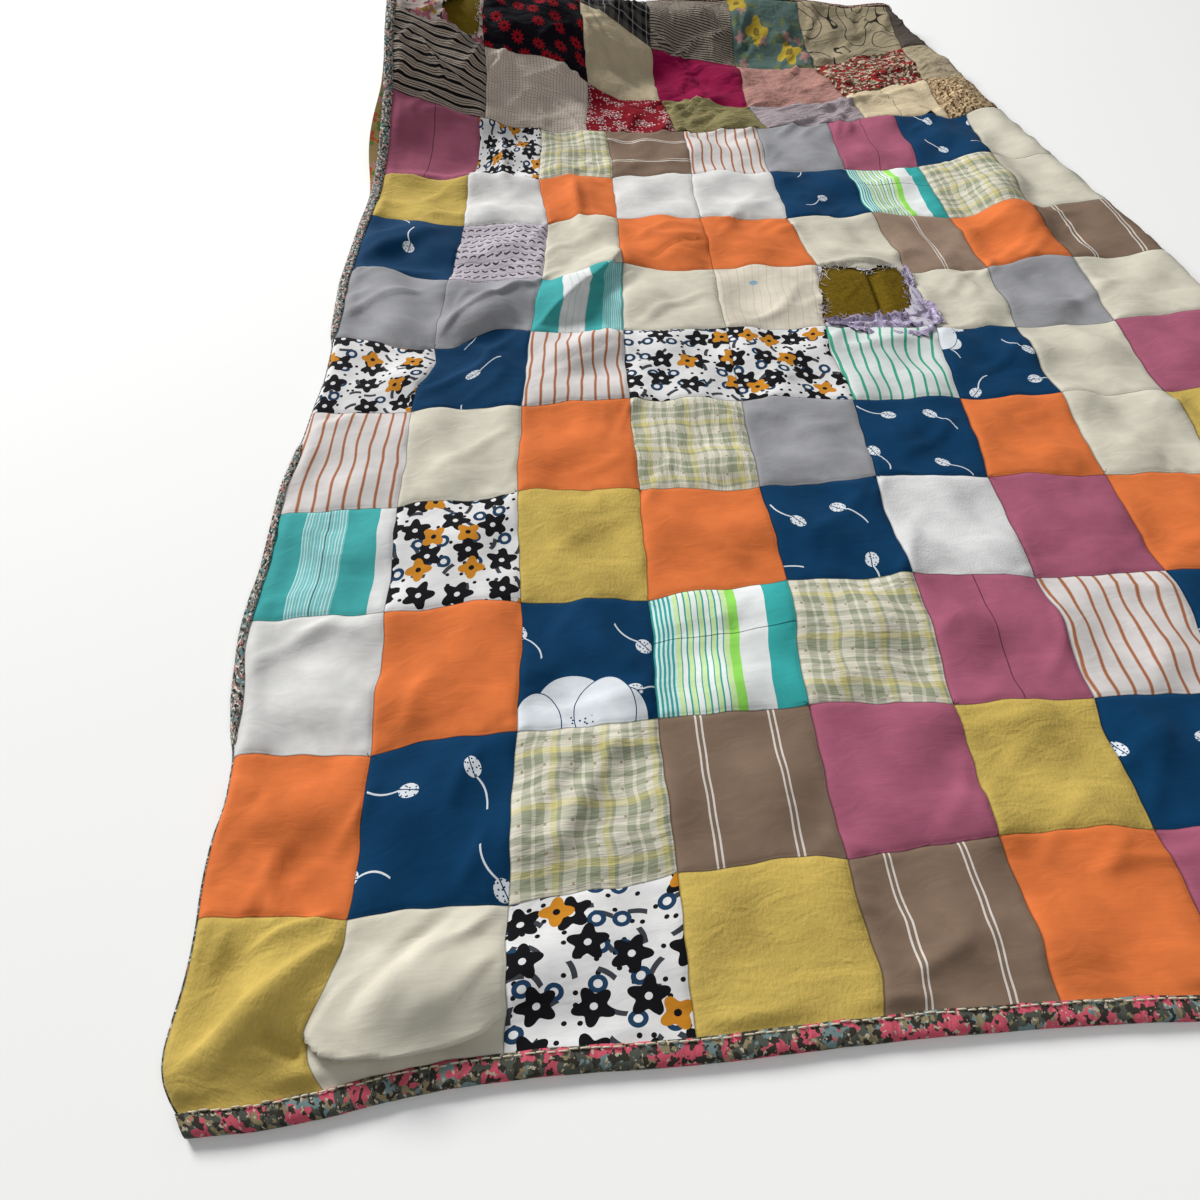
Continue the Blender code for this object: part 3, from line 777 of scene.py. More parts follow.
NEAR_ALONG = (
    # t of each row seam, in mm, at the same crossings; the last row follows the far part
    (6, 6, 6, 6, 6, 6, 6, 6, 6, 6, 6),
    (163, 146, 138, 157, 153, 165, 168, 168, 166, 165, 165),
    (315, 302, 312, 321, 326, 316, 318, 325, 330, 330, 330),
    (473, 475, 483, 479, 502, 503, 492, 495, 495, 495, 495),
    (630, 640, 662, 658, 656, 670, 664, 664, 660, 660, 660),
    (824, 825, 827, 837, 830, 824, 823, 823, 825, 825, 825),
    (996, 965, 1000, 1001, 1001, 995, 988, 989, 990, 990, 990),
    (1175, 1134, 1137, 1177, 1167, 1166, 1143, 1144, 1150, 1155, 1155),
    (1357, 1314, 1314, 1333, 1321, 1318, 1319, 1310, 1315, 1320, 1320),
    (1476, 1473, 1471, 1477, 1491, 1485, 1495, 1489, 1490, 1490, 1490),
    (1664, 1659, 1668, 1668, 1658, 1669, 1681, 1684, 1680, 1700, 1700),
)
FAR_ACROSS = (
    (2, 209, 418, 593, 781, 979, 1147, 1300, 1514),
    (2, 211, 423, 575, 755, 958, 1141, 1300, 1514),
    (2, 205, 414, 566, 757, 922, 1134, 1300, 1514),
    (2, 200, 405, 570, 757, 922, 1134, 1300, 1514),
)
FAR_ALONG = (
    (1664, 1659, 1676, 1656, 1671, 1688, 1672, 1700, 1700),
    (1850, 1819, 1835, 1805, 1769, 1780, 1850, 1850, 1850),
    (2020, 2025, 2040, 1986, 1978, 1930, 2010, 2020, 2030),
    (2204, 2204, 2204, 2204, 2204, 2204, 2204, 2204, 2204),
)
NEAR_PATCHES = (
    # one row of patches a line, from the near edge and from the left; @ turns a cloth, in degrees
    "mustard cream tossed mustard taupe orange mauve white plaid cream",
    "orange blue plaid taupe mauve mustard blue cream orange mustard",
    "white orange blueflower aqua plaid mauveseam brownstripe blue cream orange",
    "teal tossed mustard orange blue pique mauve orange grey white",
    "brownstripe cream orange plaid@90 grey blue orange cream mustard mauve",
    "tossed blue brownstripe tossed tossed greenstripe bluecorner cream mauve orange",
    "grey grey tealwide cream faint lavender cream grey cream white",
    "blue lilacdash cream orange orange cream taupelight orange taupe cream",
    "mustard white orange white white blue aqua plaid cream lavender",
    "mauveseam tossed plaid taupe@90 brownstripe grey mauveseam blue cream orange",
)
FAR_PATCHES = (
    "wavy beigecheck bandana lightgreen lilacgrey khaki scribble cream",
    "pinkprint daisies beige magenta pink roses crinklecream mustard",
    "white daisies tartan pinstripe@90 tealflower lineflower darkbrown beige",
)
# Seams that bend, as (row, seam): one arch and one S-curve, in mm to the right or onwards.
SIDE_BENDS = {
    (0, 1): (-9, -7), (1, 1): (3, 2), (0, 4): (5, 3), (1, 6): (-3, 2),
    (2, 1): (2, -2), (5, 1): (4, -6), (5, 5): (-4, 3), (9, 1): (9, 0),
}
END_BENDS = {
    (1, 1): (3, 0), (1, 3): (5, -3), (2, 1): (8, 1), (2, 2): (-3, 0), (2, 0): (4, 0), (3, 1): (3, -3),
    (4, 1): (-2, 5), (6, 0): (-2, 8), (6, 1): (8, -12), (7, 0): (15, 3), (7, 1): (8, -5), (7, 2): (-8, -6),
    (8, 0): (-6, 6), (8, 1): (6, 0), (8, 2): (14, 3), (8, 3): (5, 0), (7, 3): (-9, 4), (9, 0): (-3, 7),
    (9, 1): (18, -3), (9, 2): (14, -2), (7, 7): (12, -3),
}
FAR_END_BENDS = {(1, 1): (18, -8), (1, 3): (4, 3), (1, 2): (-6, 0)}
FOLDS = (
    # height, left width, right width, push to the right, and the points that the fold runs through, in mm
    (8.0, 12, 24, 0, ((28, 0), (90, 52), (145, 100), (158, 128))),
    (5.0, 7, 16, 0, ((70, 96), (120, 120), (150, 138))),
    (-9.0, 12, 7, 0, ((96, 40), (118, 26), (140, 14))),
    (15.0, 60, 7, 12, ((126, 56), (138, 38), (162, 28), (215, 30), (272, 37), (312, 50))),
    (-6.0, 14, 12, 0, ((157, 46), (187, 70), (213, 96), (241, 124), (268, 150))),
    (6.0, 14, 14, 0, ((180, 52), (222, 76), (258, 106), (296, 138))),
    (4.0, 14, 8, 0, ((210, 50), (256, 64), (300, 96))),
    (5.0, 20, 10, 0, ((10, 1050), (80, 1085), (150, 1120))),
    (3.0, 10, 14, 0, ((30, 40), (45, 90), (60, 140))),
    (-5.0, 8, 12, 0, ((310, 179), (345, 235), (396, 308))),
    (5.0, 12, 18, 0, ((330, 165), (372, 240), (420, 318))),
    (-4.0, 8, 8, 0, ((456, 426), (530, 432), (611, 441))),
    (4.0, 14, 14, 0, ((640, 60), (690, 80), (720, 110))),
    (4.0, 14, 16, 0, ((40, 440), (90, 452), (140, 446))),
    (9.0, 22, 12, 6, ((166, 978), (218, 1045), (300, 1112), (330, 1120))),
    (5.0, 16, 26, 0, ((20, 1217), (88, 1251), (165, 1300))),
    (9.0, 30, 7, 5, ((318, 1005), (385, 1090), (440, 1170), (466, 1222))),
    (-4.0, 8, 10, 0, ((309, 882), (380, 930), (450, 971))),
    (4.0, 12, 18, 0, ((144, 844), (230, 910), (296, 1003))),
    (-5.0, 5, 14, 0, ((500, 1190), (560, 1238), (612, 1250))),
    (5.0, 30, 14, 0, ((480, 1250), (540, 1290), (612, 1285))),
    (4.0, 10, 16, 0, ((772, 934), (825, 950), (900, 962))),
    (4.0, 10, 14, 0, ((470, 1010), (520, 1060), (600, 1090))),
    (3.5, 14, 10, 0, ((620, 730), (690, 760), (760, 775))),
    (3.5, 8, 16, 0, ((640, 560), (700, 600), (750, 655))),
    (3.5, 8, 16, 0, ((180, 700), (240, 740), (295, 790))),
    (3.0, 14, 14, 0, ((630, 360), (690, 375), (760, 372))),
    (3.5, 8, 16, 0, ((860, 340), (905, 400), (915, 470))),
    (3.0, 6, 14, 0, ((20, 600), (70, 560), (140, 548))),
    (3.5, 6, 14, 0, ((330, 540), (380, 590), (448, 620))),
    (3.0, 6, 12, 0, ((620, 850), (690, 880), (755, 905))),
    (3.5, 6, 14, 0, ((300, 1180), (360, 1240), (440, 1290))),
    (8.0, 20, 20, 0, ((400, 1290), (392, 1350), (384, 1480))),
    (8.0, 20, 20, 0, ((262, 1440), (256, 1500), (250, 1640))),
    (5.0, 16, 22, 0, ((470, 1500), (520, 1530), (600, 1540))),
    (4.0, 8, 16, 0, ((640, 1010), (700, 1040), (745, 1120))),
    (4.0, 8, 18, 0, ((960, 1060), (1000, 1120), (1040, 1150))),
    (4.0, 8, 16, 0, ((790, 700), (860, 740), (905, 800))),
    (4.0, 14, 8, 0, ((940, 860), (1010, 900), (1050, 960))),
    (4.0, 8, 14, 0, ((470, 620), (540, 560), (600, 520))),
    (5.0, 8, 18, 0, ((240, 1680), (300, 1760), (400, 1800))),
    (6.0, 8, 24, 0, ((60, 1800), (140, 1740), (200, 1690))),
    (-7.0, 6, 12, 0, ((640, 2000), (660, 1930), (668, 1860), (690, 1790))),
    (5.0, 12, 14, 0, ((590, 1880), (668, 1900), (750, 1870))),
    (-5.0, 6, 12, 0, ((430, 2040), (480, 1930), (560, 1840))),
    (6.0, 8, 22, 0, ((420, 1700), (500, 1760), (575, 1790))),
    (6.0, 8, 18, 0, ((780, 1740), (860, 1760), (960, 1730))),
    (5.0, 7, 14, 0, ((800, 1860), (880, 1830), (960, 1860))),
    (-5.0, 6, 12, 0, ((700, 2150), (760, 2060), (790, 2000))),
    (5.0, 8, 20, 0, ((990, 1740), (1060, 1790), (1130, 1800))),
    (5.0, 6, 12, 0, ((840, 1690), (900, 1720), (960, 1700))),
    (-5.0, 6, 10, 0, ((590, 1700), (640, 1740), (740, 1750))),
    (6.0, 14, 5, 2, ((776, 1166), (830, 1171), (880, 1169), (922, 1160))),
    (2.5, 8, 10, 0, ((770, 1024), (772, 1090), (774, 1176))),
    (9.0, 25, 75, 0, ((-20, 1472), (150, 1476), (330, 1476))),
    (8.0, 20, 60, 0, ((-20, 1182), (80, 1172), (185, 1160))),
    (-1.6, 4, 4, 0, ((77, 1490), (77, 1560), (77, 1650))),
    (-1.6, 4, 4, 0, ((842, 345), (842, 400), (842, 470))),
)
NEAR_SIZE = (155.0, 165.0)  # a patch of the near part, across and along, in mm
FAR_SIZE = (190.0, 180.0)
SEAM_DEPTH = 2.2  # mm, as are the next five
SEAM_SHOULDER = 3.2
SEAM_WOBBLE = 0.7
SEAM_SHADOW = 1.3
PUCKER_REACH = 9.0
SLOW_WAVE = 1.5
LOWEST = -0.0022  # below this the top would sink into the backing
LOWEST_SOFTNESS = 0.002
MOST_SMALL = 0.006  # the small folds never add up to more, where they are gentlest
RIM_RISE = 0.014
ROLLED_UNDER = 0.004
CROWDING = 0.65  # how much closer the grid's lines draw beside the seams
SLANTS = (28.0, 48.0, 62.0, -35.0)  # degrees
UP_OR_DOWN = (1.0, 1.0, -0.35)


def spaced(count):
    """Places from 0 to 1 that draw closer near both ends: part half a cosine, part a straight line."""
    even = np.arange(count) / count
    return CROWDING * (0.5 - 0.5 * np.cos(math.pi * even)) + (1.0 - CROWDING) * even


def bend_of(share, amounts):
    """A bend in mm between two fixed ends: half a sine wave and a whole one along the seam.

    An inner seam also wobbles: three and a half short waves that fade towards both ends.
    """
    arch, curve = amounts[..., 0], amounts[..., 1]
    wobble = SEAM_WOBBLE * (arch != 0.0) * np.sin(7.0 * math.pi * share + 4.0 * arch)
    return ((arch + wobble) * np.sin(math.pi * share) + curve * np.sin(2.0 * math.pi * share)) / 1000.0


def seam_bends(shape, known, chance):
    """How much each seam of a block bends: what the table says, and a little by chance elsewhere."""
    bends = chance.normal(0.0, (1.6, 1.0), (*shape, 2))
    for seam, amounts in known.items():
        bends[seam] = amounts
    return bends


def patch_grid(across, along, cells_across, cells_along, side_known, end_known, chance):
    """Points of a block of patches: each patch's place is weighed from its corners and its bent seams.

    Gives s and t in metres, the patch's column and row, and the share across and along the patch.
    """
    corner_s, corner_t = np.array(across) / 1000.0, np.array(along) / 1000.0
    rows, columns = corner_s.shape[0] - 1, corner_s.shape[1] - 1
    line_u = np.concatenate([start + spaced(count) for start, count in enumerate(cells_across)] + [[columns]])
    line_v = np.concatenate([start + spaced(count) for start, count in enumerate(cells_along)] + [[rows]])
    column = np.minimum(line_u.astype(int), columns - 1)[None, :] + np.zeros((len(line_v), 1), int)
    row = np.minimum(line_v.astype(int), rows - 1)[:, None] + np.zeros((1, len(line_u)), int)
    u, v = line_u[None, :] - column, line_v[:, None] - row

    side = seam_bends((rows, columns + 1), side_known, chance)
    end = seam_bends((rows + 1, columns), end_known, chance)
    side[:, [0, -1]] = 0.0
    end[[0, -1]] = 0.0

    def weigh(corner, seam):
        return corner[row + seam, column] * (1.0 - u) + corner[row + seam, column + 1] * u

    low_s, high_s = weigh(corner_s, 0), weigh(corner_s, 1)
    low_t, high_t = weigh(corner_t, 0), weigh(corner_t, 1)
    if rows == len(NEAR_PATCHES):
        # The last row of the near part ends on the first seam of the far part.
        far_s, far_t = np.array(FAR_ACROSS[0]) / 1000.0, np.array(FAR_ALONG[0]) / 1000.0
        high_t = np.where(row == rows - 1, np.interp(high_s, far_s, far_t), high_t)
    bent_s = bend_of(v, side[row, column]) * (1.0 - u) + bend_of(v, side[row, column + 1]) * u
    bent_t = bend_of(u, end[row, column]) * (1.0 - v) + bend_of(u, end[row + 1, column]) * v
    return low_s * (1.0 - v) + high_s * v + bent_s, low_t * (1.0 - v) + high_t * v + bent_t, column, row, u, v


def crease(value):
    """Stand at 1 on a line and fall to 0 at 1 either way: sharp at the top and flat at the foot."""
    left = 1.0 - np.clip(np.abs(value), 0.0, 1.0)
    return 0.6 * left**1.7 + 0.4 * bump(value)


def fold_shape(x, y, folds):
    """The height of the folds, and how far they lean in x and in y.

    Each fold is a crease across a bent line, narrow or wide on either side of it, that rises from both
    its ends over a quarter of its run. A fold with a push leans over to the right of its line.
    """
    total, lean_x, lean_y = (np.zeros_like(x) for _ in range(3))
    for height, left, right, push, points in folds:
        line = np.array(points, float) / 1000.0
        reach = max(left, right) / 1000.0
        low, high = line.min(axis=0) - reach, line.max(axis=0) + reach
        here = (x > low[0]) & (x < high[0]) & (y > low[1]) & (y < high[1])
        near_x, near_y = x[here], y[here]
        runs = np.linalg.norm(np.diff(line, axis=0), axis=1)
        nearest, side, reached = np.full(near_x.shape, 1e9), np.ones_like(near_x), np.zeros_like(near_x)
        out_x, out_y = np.zeros_like(near_x), np.zeros_like(near_x)
        before = 0.0
        for start, end, run in zip(line[:-1], line[1:], runs):
            way = (end - start) / run
            along = np.clip((near_x - start[0]) * way[0] + (near_y - start[1]) * way[1], 0.0, run)
            off_x, off_y = near_x - start[0] - along * way[0], near_y - start[1] - along * way[1]
            distance = np.hypot(off_x, off_y)
            closer = distance < nearest
            nearest = np.where(closer, distance, nearest)
            side = np.where(closer, way[0] * off_y - way[1] * off_x, side)
            reached = np.where(closer, (before + along) / runs.sum(), reached)
            out_x, out_y = np.where(closer, way[1], out_x), np.where(closer, -way[0], out_y)
            before += run
        width = np.where(side > 0.0, left, right) / 1000.0
        shape = crease(nearest / width) * ease(reached / 0.25) * ease((1.0 - reached) / 0.25)
        total[here] += height / 1000.0 * shape
        lean_x[here] += push / 1000.0 * shape * out_x
        lean_y[here] += push / 1000.0 * shape * out_y
    return total, lean_x, lean_y


def small_folds(chance, count, start, stop, least, most, width=1.0):
    """Short creases between two places along the quilt, most of them slanting, as high as given in mm.

    Each runs 25 to 75 mm either way from its middle, bends a little there, and is steeper on its left.
    """
    middle = np.stack((chance.uniform(0.02, 1.25, count), chance.uniform(start, stop, count)), axis=1)
    turn = np.radians(chance.choice(SLANTS, count) + chance.normal(0.0, 14.0, count))
    half = chance.uniform(0.025, 0.075, count)
    reach = np.stack((np.cos(turn), np.sin(turn)), axis=1) * half[:, None]
    bend = np.stack((-np.sin(turn), np.cos(turn)), axis=1) * chance.uniform(-0.012, 0.012, count)[:, None]
    heights = chance.uniform(least, most, count) * chance.choice(UP_OR_DOWN, count)
    widths = np.stack((chance.uniform(7.0, 12.0, count), chance.uniform(12.0, 24.0, count)), axis=1)
    lines = np.stack((middle - reach, middle + bend, middle + reach), axis=1) * 1000.0
    return [(h, w[0], w[1], 0.0, line) for h, w, line in zip(heights, width * widths, lines)]


LEFT_SHOWN = (
    # t     share of the strip's width that shows on top
    (0.000, 0.00),
    (0.315, 0.00),
    (0.345, 0.50),
    (0.390, 0.80),
    (0.430, 0.50),
    (0.500, 0.62),
    (0.600, 0.55),
    (0.680, 0.48),
    (0.735, 0.62),
    (0.775, 0.00),
    (0.985, 0.00),
    (1.020, 0.65),
    (1.100, 0.78),
    (1.300, 0.85),
    (1.400, 0.95),
    (1.700, 0.90),
    (2.210, 0.90),
)


def slow_waves(x, y):
    """Broad waves all over: eight sine waves, each in a direction and of a length of its own."""
    chance = np.random.default_rng(3)
    spans = ((0.0, math.pi), (0.055, 0.15), (0.0, 6.3))
    turns, lengths, phases = (chance.uniform(*span, 8) for span in spans)
    total = np.zeros_like(x)
    for turn, length, phase in zip(turns, lengths, phases):
        total += np.sin((x * math.cos(turn) + y * math.sin(turn)) * 2.0 * math.pi / length + phase)
    return total


def top_relief(s, t, column, row, u, v, chance, creases, pucker):
    """How far the patchwork stands above its flat cloth, and how far its folds lean over.

    The height adds up a shoulder beside each seam, a low dome on each patch, ripples of pucker mm along
    the seams that die away from them, slow waves and the folds. It never sinks to the backing.
    """
    place = lie(s, t)
    x, y = place[..., 0], place[..., 1]
    from_side = np.minimum(u, 1.0 - u) * NEAR_SIZE[0]
    from_end = np.minimum(v, 1.0 - v) * NEAR_SIZE[1]
    shoulder = (1.0 - np.exp(-from_side / SEAM_SHOULDER)) * (1.0 - np.exp(-from_end / SEAM_SHOULDER))
    patches = (row.max() + 1, column.max() + 1)
    full = chance.uniform(0.8, 3.4, patches)[row, column]
    phase = chance.uniform(0.0, 6.3, patches)[row, column]
    dome = full * np.sin(math.pi * u) ** 0.8 * np.sin(math.pi * v) ** 0.8
    wave_side = np.sin(t * 1000.0 / 2.3 + 3.0 * np.sin(t * 31.0) + phase) * np.exp(-from_side / PUCKER_REACH)
    wave_end = np.sin(s * 1000.0 / 2.6 + 3.0 * np.sin(s * 27.0) + phase) * np.exp(-from_end / PUCKER_REACH)
    ripple = pucker * shoulder * (wave_side + wave_end)
    folds, lean_x, lean_y = fold_shape(x, y, FOLDS)
    most = MOST_SMALL * pucker / NEAR_PUCKER
    folds = folds + most * np.tanh(fold_shape(x, y, creases)[0] / most)
    height = (SEAM_DEPTH * shoulder + dome + ripple + SLOW_WAVE * slow_waves(x, y)) / 1000.0 + folds
    over = height - LOWEST
    height = LOWEST + 0.5 * (over + np.sqrt(over**2 + LOWEST_SOFTNESS**2))
    start = read_table(FOLD_LINE, 1, t) - ROLL_RADIUS
    top_only = 0.35 + 0.65 * ease((start - s) / 0.030)
    shown = read_table(LEFT_SHOWN, 1, t, LEFT_ROUNDING)
    from_left, from_right = s - BINDING_LINE * shown, QUILT_WIDTH - s - BINDING_LINE
    from_ends = np.minimum(t, QUILT_LENGTH - t) - BINDING_LINE
    nearest = np.minimum(np.minimum(from_left, from_right), from_ends)
    rolled = ROLLED_UNDER * (1.0 - ease(shown / 0.4)) * (1.0 - ease(s / 0.010))
    lean = np.stack((lean_x, lean_y, np.zeros_like(x)), axis=-1)
    return height * top_only * ease((nearest + 0.002) / RIM_RISE) - rolled, lean


MIDDLE_HOLE = (
    # s and t of the torn place's edge, in mm
    (763, 1006), (783, 1012), (800, 1018), (827, 1020), (846, 1024), (864, 1023), (892, 1026), (904, 1036),
    (910, 1069), (914, 1101), (918, 1136), (914, 1158), (896, 1162), (876, 1157), (862, 1144), (848, 1154),
    (829, 1160), (806, 1164), (788, 1164), (783, 1139), (778, 1114), (773, 1082), (767, 1050), (764, 1027),
)
FAR_HOLE = (
    (122, 1842), (150, 1836), (186, 1828), (198, 1850), (197, 1895), (200, 1940), (186, 1966), (166, 1952),
    (148, 1922), (124, 1900), (112, 1872),
)
TEAR_STEP = 0.003
TEAR_UNEVEN = 0.0016
TEAR_REACH = 0.0030
TEAR_WINDOW = 0.14


def torn_edge(outline):
    """An outline walked in small equal steps, each moved in or out a little, as torn cloth is."""
    chance = np.random.default_rng(11)
    ring = np.array(outline, float) / 1000.0
    closed = np.concatenate((ring, ring[:1]))
    runs = np.append(0.0, np.cumsum(np.linalg.norm(np.diff(closed, axis=0), axis=1)))
    places = np.linspace(0.0, runs[-1], int(runs[-1] / TEAR_STEP), endpoint=False)
    edge = np.stack([np.interp(places, runs, closed[:, axis]) for axis in (0, 1)], axis=1)
    return edge + chance.normal(0.0, TEAR_UNEVEN, edge.shape)


def inside_edge(points, edge):
    """Which points lie inside a closed outline, by counting the sides crossed on a way out along s."""
    start, end = edge, np.roll(edge, -1, axis=0)
    s, t = points[:, 0:1], points[:, 1:2]
    spans = (start[None, :, 1] > t) != (end[None, :, 1] > t)
    rise = np.where(end[:, 1] == start[:, 1], 1e-9, end[:, 1] - start[:, 1])
    crossing = start[:, 0] + (t - start[:, 1]) * (end[:, 0] - start[:, 0]) / rise
    return (spans & (s < crossing)).sum(axis=1) % 2 == 1


def tear(s, t, faces, edge):
    """Open a torn place: grid points near its edge move onto it, and the squares inside it go.

    Gives the moved points and which squares are kept. Only points within a window are looked at.
    """
    middle = edge.mean(axis=0)
    window = (np.abs(s - middle[0]) < TEAR_WINDOW) & (np.abs(t - middle[1]) < TEAR_WINDOW)
    points = np.stack((s[window], t[window]), axis=1)
    way = np.roll(edge, -1, axis=0) - edge
    share = ((points[:, None, :] - edge[None]) * way[None]).sum(-1) / (way**2).sum(-1)[None]
    foot = edge[None] + np.clip(share, 0.0, 1.0)[..., None] * way[None]
    distance = np.linalg.norm(points[:, None, :] - foot, axis=-1)
    every, nearest = np.arange(len(points)), distance.argmin(axis=1)
    close = distance[every, nearest] < TEAR_REACH
    gone = np.zeros(s.shape, bool)
    gone[window] = inside_edge(points, edge) | close
    points[close] = foot[every, nearest][close]
    s, t = s.copy(), t.copy()
    s[window], t[window] = points[:, 0], points[:, 1]
    return s, t, ~gone.ravel()[faces].all(axis=1)


def patch_codes(rows):
    """Each patch's cloth and the turn of its pattern, from the table of rows."""
    cells = [[cell.split("@") for cell in row.split()] for row in rows]
    names = [[cell[0] for cell in row] for row in cells]
    turns = [[float(cell[1]) if len(cell) > 1 else 0.0 for cell in row] for row in cells]
    return np.array(names), np.radians(np.array(turns))


# Cloths whose print starts at a place of its own on each patch.
PRINTED = (
    "blue tossed lilacdash lavender bandana scribble pinkprint daisies roses tealflower lineflower"
).split()
NEAR_CELLS = ((32, 32, 28, 24, 24, 24, 20, 20, 18, 14), (44, 26, 26, 26, 26, 28, 36, 28, 26, 24))
FAR_CELLS = ((30, 30, 28, 28, 28, 26, 22, 22), (30, 32, 30))
NEAR_PUCKER, FAR_PUCKER = 0.7, 1.5
MIDDLE_TEAR, FAR_TEAR = torn_edge(MIDDLE_HOLE), torn_edge(FAR_HOLE)
chance = np.random.default_rng(7)
creases = small_folds(chance, 230, 0.05, 1.66, 1.4, 4.6)
creases += small_folds(chance, 210, 1.64, 2.17, 4.0, 10.0, 0.72)
cloth_names = sorted(CLOTHS)
points, faces, maps, bakes, cloth_of, seams = [], [], [], [], [], []
first = 0
for grid, rows, edge, (wide, long), pucker in (
    (
        (NEAR_ACROSS, NEAR_ALONG, *NEAR_CELLS, SIDE_BENDS, END_BENDS),
        NEAR_PATCHES, MIDDLE_TEAR, NEAR_SIZE, NEAR_PUCKER,
    ),
    (
        (FAR_ACROSS, FAR_ALONG, *FAR_CELLS, {}, FAR_END_BENDS),
        FAR_PATCHES, FAR_TEAR, FAR_SIZE, FAR_PUCKER,
    ),
):
    s, t, column, row, u, v = patch_grid(*grid, chance)
    squares = sheet_faces(*s.shape)
    s, t, keep = tear(s, t, squares, edge)
    relief, lean = top_relief(s, t, column, row, u, v, chance, creases, pucker)
    points.append((on_cloth(s, t, HALF + relief) + lean).reshape(-1, 3))
    # Each face corner's place on its own patch, turned about the patch's middle.
    names, turns = patch_codes(rows)
    low_left = squares[:, 0]
    patch = (row.ravel()[low_left], column.ravel()[low_left])
    mid_u = (u.ravel()[squares] + (column.ravel()[squares] - patch[1][:, None]) - 0.5) * wide
    mid_v = (v.ravel()[squares] + (row.ravel()[squares] - patch[0][:, None]) - 0.5) * long
    cosine, sine = np.cos(turns[patch][:, None]), np.sin(turns[patch][:, None])
    local_u = mid_u * cosine - mid_v * sine + wide / 2
    local_v = mid_u * sine + mid_v * cosine + long / 2
    apart = np.isin(names[patch], PRINTED) * (patch[0] * 171.0 + patch[1] * 237.0)
    local = np.stack((local_u, local_v), axis=-1) + apart[:, None, None]
    maps.append(local[keep].reshape(-1, 2))
    bakes.append(corner_map(squares[keep], s, t) / BAKE_SPAN)
    cloth_of.append(np.array([cloth_names.index(name) for name in names[patch][keep]]))
    # How near each point lies to a seam: the mask of the painted shade in the seams.
    from_seam = np.minimum(np.minimum(u, 1.0 - u) * wide, np.minimum(v, 1.0 - v) * long)
    seams.append(np.exp(-((from_seam / SEAM_SHADOW) ** 2)).ravel())
    faces.append(squares[keep] + first)
    first += s.size
quilt_top = make_piece(
    "quilt_top",
    np.concatenate(points),
    np.concatenate(faces),
    [CLOTHS[name] for name in cloth_names],
    {"cloth_mm": np.concatenate(maps), "OFBake": np.concatenate(bakes)},
    np.concatenate(cloth_of),
)
closeness = quilt_top.data.attributes.new("seam_shade_mask", "FLOAT", "POINT")
closeness.data.foreach_set("value", np.concatenate(seams).astype(np.float32))
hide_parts("quilt_body")


# ---------------------------------------------------------------------------------------------
# The backing. One cotton cloth, printed with small flowers on ochre, lies under the whole quilt and
# is sewn to the top round the edge.
backing_print = scattered("backing_print_cotton", "#A08A5A", (
    ("#B9562F", 38.0, 15.0, 5, 0.25, 0.8, 0.0),
    ("#64803A", 31.0, 10.0, 2, 0.4, 0.9, 9.0),
    ("#BC8482", 35.0, 10.0, 5, 0.3, 0.8, 17.0),
))
BACK_INSET = 0.004
back_s, back_t = np.meshgrid(
    np.linspace(BACK_INSET, QUILT_WIDTH - BACK_INSET, 150),
    np.linspace(BACK_INSET, QUILT_LENGTH - BACK_INSET, 190),
)
back_faces = sheet_faces(*back_s.shape)[:, ::-1]
back_map = corner_map(back_faces, back_s, back_t)
quilt_backing = make_piece(
    "quilt_backing",
    on_cloth(back_s, back_t, np.full(back_s.shape, -HALF), FLOOR_GAP / 2.0),
    back_faces,
    backing_print,
    {"cloth_mm": back_map * 1000.0, "OFBake": back_map / BAKE_SPAN},
)


# ---------------------------------------------------------------------------------------------
# The bindings. Each is a strip of printed cotton folded round a raw edge, over the top, round and
# back underneath, and held with one line of running stitches.
near_print = blotched("near_binding_cotton", "#4C4F47", (
    ("#6B7F80", 17.0, 0.57), ("#85785C", 10.0, 0.58), ("#BC5262", 24.0, 0.52),
    ("#34312B", 8.0, 0.56), ("#B0A58F", 5.0, 0.67),
))
left_print = blotched("left_binding_cotton", "#56544D", (
    ("#9A9488", 7.0, 0.52), ("#5F8081", 10.0, 0.57), ("#A87A74", 10.0, 0.60),
    ("#CFCBC2", 5.0, 0.61), ("#232527", 5.5, 0.60),
))
far_print = blotched("far_binding_cotton", "#4A2C28", (("#7A4A44", 10.0, 0.54), ("#85705E", 7.0, 0.60)))
LEAST_UP = 0.0003
BINDING_SECTION = (
    # inwards mm, up mm over the middle of the cloth
    (17.2, 2.9),
    (17.6, 3.6),
    (14.0, 4.6),
    (6.0, 4.9),
    (0.5, 4.0),
    (-2.0, 1.6),
    (-2.2, -1.6),
    (0.5, -3.6),
    (6.0, -4.2),
    (17.0, -4.2),
)


def along_edge(edge, place, inwards=0.0):
    """s and t at a place along an edge and so far inwards from it."""
    corner, way, inward = edge
    return tuple(corner[part] + way[part] * place + inward[part] * inwards for part in (0, 1))


# Where each edge starts, the way along it and the way inwards, as (s, t).
NEAR_SIDE = ((0.0, 0.0), (1.0, 0.0), (0.0, 1.0))
FAR_SIDE = ((0.0, QUILT_LENGTH), (1.0, 0.0), (0.0, -1.0))
LEFT_SIDE = ((0.0, 0.0), (0.0, 1.0), (1.0, 0.0))
RIGHT_SIDE = ((QUILT_WIDTH, 0.0), (0.0, 1.0), (-1.0, 0.0))
BINDING_STEP = 0.006
DEEP_ON_TOP = 14.0


